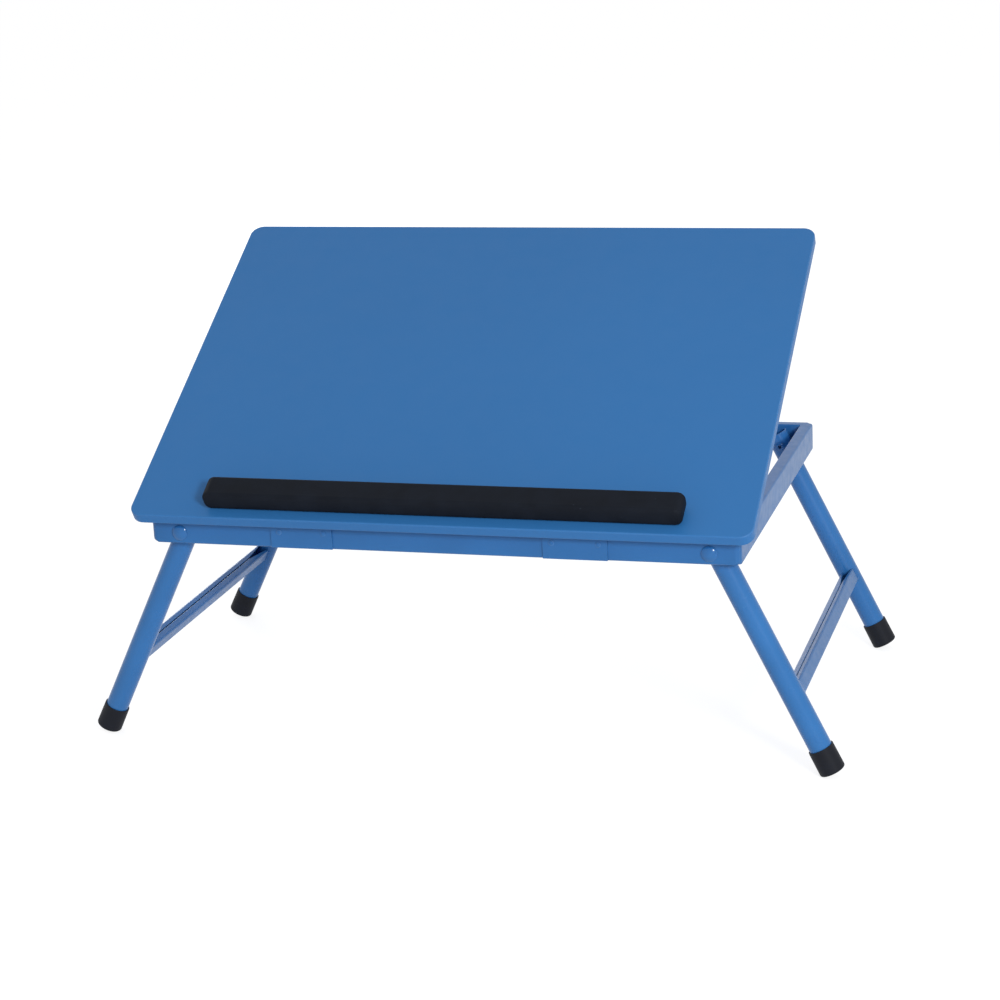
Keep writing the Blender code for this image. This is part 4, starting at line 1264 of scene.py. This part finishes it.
class TABLE_OT_stays(bpy.types.Operator):
    """Build the folding stay on each side: links, pins and bracket"""

    bl_idname = "table.stays"
    bl_label = "Stays"

    sides = 32
    end_steps = 16
    soft = 0.0003
    soft_steps = 2
    pin_radius = 0.0025
    elbow_play = 0.0007
    head_radius = 0.0048
    head_height = 0.0015
    dome_share = 0.6
    dome_steps = 8
    collar = 0.0018
    bracket_thickness = 0.002
    bracket_length = 0.034
    bracket_flange = 0.022
    ear_margin = 0.0065
    bend = 0.003
    inner_bend_steps = 4
    outer_bend_steps = 8
    corner = 0.005
    corner_steps = 6
    flat_angle = math.radians(1)

    def link(self, start, end, inset, side, elbow_play):
        """Return a flat link with rounded ends between two points, at an inset from the side rail."""
        sizes = bpy.context.scene.table_fasteners
        half, thickness = sizes.link_width / 2, sizes.link_thickness
        run = Vector((0, end.y - start.y, end.z - start.z))
        outline = arc((0, 0), half, QUARTER_TURN, 3 * QUARTER_TURN, self.end_steps)
        outline += arc((run.length, 0), half, -QUARTER_TURN, QUARTER_TURN, self.end_steps)
        hole = circle(self.pin_radius + PLAY, self.sides)
        elbow_hole = circle(self.pin_radius + elbow_play, self.sides, (run.length, 0))
        mesh = soft_plate([outline, hole, elbow_hole], thickness, self.soft, self.soft_steps)
        along = run.normalized()
        axes = Matrix((along, Vector((0, -along.z, along.y)), Vector((1, 0, 0)))).transposed()
        x = side * (RAIL_INNER_X - inset - thickness / 2)
        mesh.transform(Matrix.Translation((x, start.y, start.z)) @ axes.to_4x4())
        return mesh

    def pin(self, spans, centre, side):
        """Return a pin with a domed head and collars, reaching inwards from the side rail."""
        radius, soft, shank = self.head_radius, self.soft, self.pin_radius
        (near, far), *others = spans
        rise = (far - near) * self.dome_share
        points = dome(radius, rise, far - rise, self.dome_steps)
        points += [(radius, near + soft), (radius - soft, near), (shank, near)]
        for near, far in others:
            points += disc(radius, near, far, soft, shank)
        points[-1] = (0, points[-1][1])
        spot = Vector((side * RAIL_INNER_X, centre.y, centre.z))
        return turned(points, self.sides, "bright_zinc", [(spot, Vector((-side, 0, 0)))])

    def bracket(self, eye, place, side, screws):
        """Return the angle bracket with its rounded bend and corners, in the board's frame."""
        thick, bend, length = self.bracket_thickness, self.bend, self.bracket_length
        drop = place.z - eye.z + self.ear_margin
        start, end = 2 * QUARTER_TURN, QUARTER_TURN
        outline = [(0, -drop), (thick, -drop)]
        outline += arc((bend, -bend), bend - thick, start, end, self.inner_bend_steps)
        outline += [(self.bracket_flange, -thick), (self.bracket_flange, 0)]
        outline += arc((bend, -bend), bend, end, start, self.outer_bend_steps)
        shape = opened(plate([outline], length))
        bmesh.ops.dissolve_limit(
            shape, angle_limit=self.flat_angle, verts=shape.verts, edges=shape.edges)
        corners = [
            edge for edge in shape.edges
            if abs(edge.calc_length() - thick) < MERGE_DISTANCE
            and all(abs(abs(vert.co.z) - length / 2) < MERGE_DISTANCE for vert in edge.verts)
        ]
        mesh = bevelled(shape, corners, self.corner, self.corner_steps)
        heading = Matrix.Rotation((1 + side) * QUARTER_TURN, 4, "Z")
        mesh.transform(Matrix.Translation(place) @ heading @ STOOD_UP)
        across = Vector((2 * bend, 0, 0))
        mesh = cut(mesh, rods([(eye - across, eye + across)], self.pin_radius + PLAY, self.sides))
        return bored(mesh, screws, -bend, bend, bpy.context.scene.table_fasteners.screw_radius)

    def execute(self, context):
        thick, height = context.scene.table_fasteners.link_thickness, self.head_height
        lower = 2 * PLAY + self.collar
        stud_head = lower + thick + PLAY
        pin_head = stud_head + height + PLAY
        upper = pin_head + height + PLAY
        ear = upper + thick + PLAY
        tail = ear + self.bracket_thickness + PLAY
        collar = lower - PLAY
        stud_spans = [(stud_head, stud_head + height), (PLAY, PLAY + self.collar)]
        pin_spans = [(tail, tail + height), (pin_head, pin_head + height)]
        elbow_spans = [(ear, ear + height), (stud_head, upper - PLAY), (collar - height, collar)]
        for side_name, side in SIDES.items():
            name = side_name + "_stay"
            foot, head = (Vector(JOINTS[f"{name}_{end}_pivot"]["pos_m"]) for end in ("lower", "upper"))
            elbow = box_middle(name + "_elbow_rivet")
            board_head = BOARD_PLACE.inverted() @ head
            eye = Vector((side * (RAIL_INNER_X - ear), board_head.y, board_head.z))
            place = Vector((eye.x, eye.y, context.scene.table_board.underside - PLAY))
            screws = screw_spots([node for node in BRACKET_SCREWS if node.startswith(side_name)])
            bracket = self.bracket(eye, place, side, screws)
            bracket.transform(BOARD_PLACE)
            lower_bar = self.link(foot, elbow, lower, side, PLAY)
            upper_bar = self.link(head, elbow, upper, side, self.elbow_play)
            lower_body, upper_body = side_name + "_lower_link", side_name + "_upper_link"
            for suffix, mesh, body, node in (
                ("_lower_bar", lower_bar, lower_body, "_lower_link"),
                ("_upper_bar", upper_bar, upper_body, "_upper_link"),
                ("_stud_turned", self.pin(stud_spans, foot, side), "frame", "_stud"),
                ("_pin_turned", self.pin(pin_spans, head, side), "board", "_pin"),
                ("_elbow_turned", self.pin(elbow_spans, elbow, side), lower_body, "_elbow_rivet"),
                ("_bracket_bent", bracket, "board", "_bracket"),
            ):
                add_piece(name + suffix, mesh, "bright_zinc", body, [name + node])
        return {"FINISHED"}


# Stage

def show(wiring, output, light, seen):
    """Give one shader to the light's bounces and another to the rays that show the background."""
    rays = wiring.node("ShaderNodeLightPath").outputs
    straight, mirrored, through = "Is Camera Ray", "Is Glossy Ray", "Is Transmission Ray"
    share = Amount(wiring, rays[straight]) + rays[mirrored] + rays[through]
    mixed = wiring.out("ShaderNodeMixShader", {0: share, 1: light, 2: seen})
    wiring.feed(wiring.tree.nodes[output].inputs["Surface"], mixed)


class TABLE_OT_stage(bpy.types.Operator):
    """Build the pale floor, the soft light and the camera"""

    bl_idname = "table.stage"
    bl_label = "Stage"

    camera_place = (0.7004, -2.3047, 0.9018)
    yaw = math.radians(16.787)
    pitch = math.radians(-16.199)
    roll = math.radians(2.8275)
    sensor_width = 36
    floor_reach = 60.0
    floor_colour = (0.84, 0.84, 0.85, 1)
    seen_floor_colour = (0.36, 0.36, 0.37, 1)
    floor_glow = 0.81
    sky_colour = (1, 1, 1, 1)
    lamp_target = 0.25
    key_place = (1.8, -2.4, 1.35)
    key_size = 0.6
    rear_place = (-1.8, 2.4, 1.0)
    rear_size = 1.4

    def floor(self):
        """Lay the floor, which keeps the table's shadow and goes white towards the camera."""
        shape = bmesh.new()
        bmesh.ops.create_grid(shape, x_segments=2, y_segments=2, size=self.floor_reach)
        mesh = mesh_from(shape)
        material = bpy.data.materials.new("white_floor")
        material.use_nodes = True
        wiring = Wiring(material.node_tree)
        wiring.tree.nodes.remove(wiring.tree.nodes["Principled BSDF"])
        matt = wiring.out("ShaderNodeBsdfDiffuse", {"Color": self.floor_colour})
        dim = wiring.out("ShaderNodeBsdfDiffuse", {"Color": self.seen_floor_colour})
        glow = wiring.out("ShaderNodeEmission", {"Strength": self.floor_glow})
        show(wiring, "Material Output", matt, wiring.out("ShaderNodeAddShader", {0: dim, 1: glow}))
        mesh.materials.append(material)
        floor = new_object("floor", mesh)

    def lamp(self, name, place, size, power):
        """Hang one soft square lamp that shines at the table."""
        light = bpy.data.lights.new(name, "AREA")
        light.size = size
        light.energy = power
        lamp = new_object(name, light)
        lamp.location = place
        run = Vector((0, FRAME_MIDDLE, self.lamp_target)) - Vector(place)
        lamp.rotation_euler = run.to_track_quat("-Z", "Y").to_euler()

    def sky(self, strength):
        """Light the table evenly from all around, and show white behind it."""
        world = bpy.data.worlds.new("studio")
        world.use_nodes = True
        bpy.context.scene.world = world
        wiring = Wiring(world.node_tree)
        light, white = (
            wiring.out("ShaderNodeBackground", {"Color": self.sky_colour, "Strength": power})
            for power in (strength, 1.0)
        )
        show(wiring, "World Output", light, white)

    def camera(self, lens):
        """Stand the camera where the photograph was taken from."""
        ahead = Vector((
            -math.sin(self.yaw) * math.cos(self.pitch),
            math.cos(self.yaw) * math.cos(self.pitch),
            math.sin(self.pitch),
        ))
        right = Vector((math.cos(self.yaw), math.sin(self.yaw), 0))
        level = Matrix((right, right.cross(ahead), -ahead)).transposed()
        leaning = Matrix.Rotation(self.roll, 3, ahead)
        data = bpy.data.cameras.new("camera")
        data.lens = lens
        data.sensor_width = self.sensor_width
        camera = new_object("camera", data)
        camera.matrix_world = Matrix.Translation(self.camera_place) @ (leaning @ level).to_4x4()
        bpy.context.scene.camera = camera

    def execute(self, context):
        settings = context.scene.table_stage
        self.floor()
        self.sky(settings.sky)
        self.lamp("key_lamp", self.key_place, self.key_size, settings.key)
        self.lamp("rear_lamp", self.rear_place, self.rear_size, settings.rear)
        self.camera(settings.lens)
        context.scene.view_settings.view_transform = "Standard"
        return {"FINISHED"}


class TABLE_PT_panel(bpy.types.Panel):
    """Lists the table's settings and pieces in the sidebar"""

    bl_label = "Folding Laptop Table"
    bl_idname = "TABLE_PT_panel"
    bl_space_type = "VIEW_3D"
    bl_region_type = "UI"
    bl_category = "Laptop Table"

    def draw(self, context):
        for group in GROUPS:
            settings = getattr(context.scene, group)
            box = self.layout.box()
            for name in settings.__annotations__:
                box.prop(settings, name)
        for operator in OPERATORS:
            self.layout.operator(operator.bl_idname)


GROUPS = {
    "table_board": BoardSizes,
    "table_frame": FrameSizes,
    "table_fasteners": FastenerSizes,
    "table_colours": FinishColours,
    "table_stage": StageSettings,
}
OPERATORS = (
    TABLE_OT_board, TABLE_OT_stopper, TABLE_OT_rails, TABLE_OT_legs, TABLE_OT_feet,
    TABLE_OT_crossbars, TABLE_OT_leg_rivets, TABLE_OT_screws, TABLE_OT_hinges, TABLE_OT_stays,
    TABLE_OT_stage,
)


def register():
    """Register the classes and hang the settings on the scene."""
    for item in (*GROUPS.values(), *OPERATORS, TABLE_PT_panel):
        bpy.utils.register_class(item)
    for name, group in GROUPS.items():
        setattr(bpy.types.Scene, name, bpy.props.PointerProperty(type=group))


def unregister():
    """Take the settings and the classes away again."""
    for name in GROUPS:
        delattr(bpy.types.Scene, name)
    for item in (TABLE_PT_panel, *reversed(OPERATORS), *reversed(GROUPS.values())):
        bpy.utils.unregister_class(item)


def main():
    """Build the table and its stage."""
    register()
    for operator in OPERATORS:
        group, name = operator.bl_idname.split(".")
        getattr(getattr(bpy.ops, group), name)()


if __name__ == "__main__":
    main()
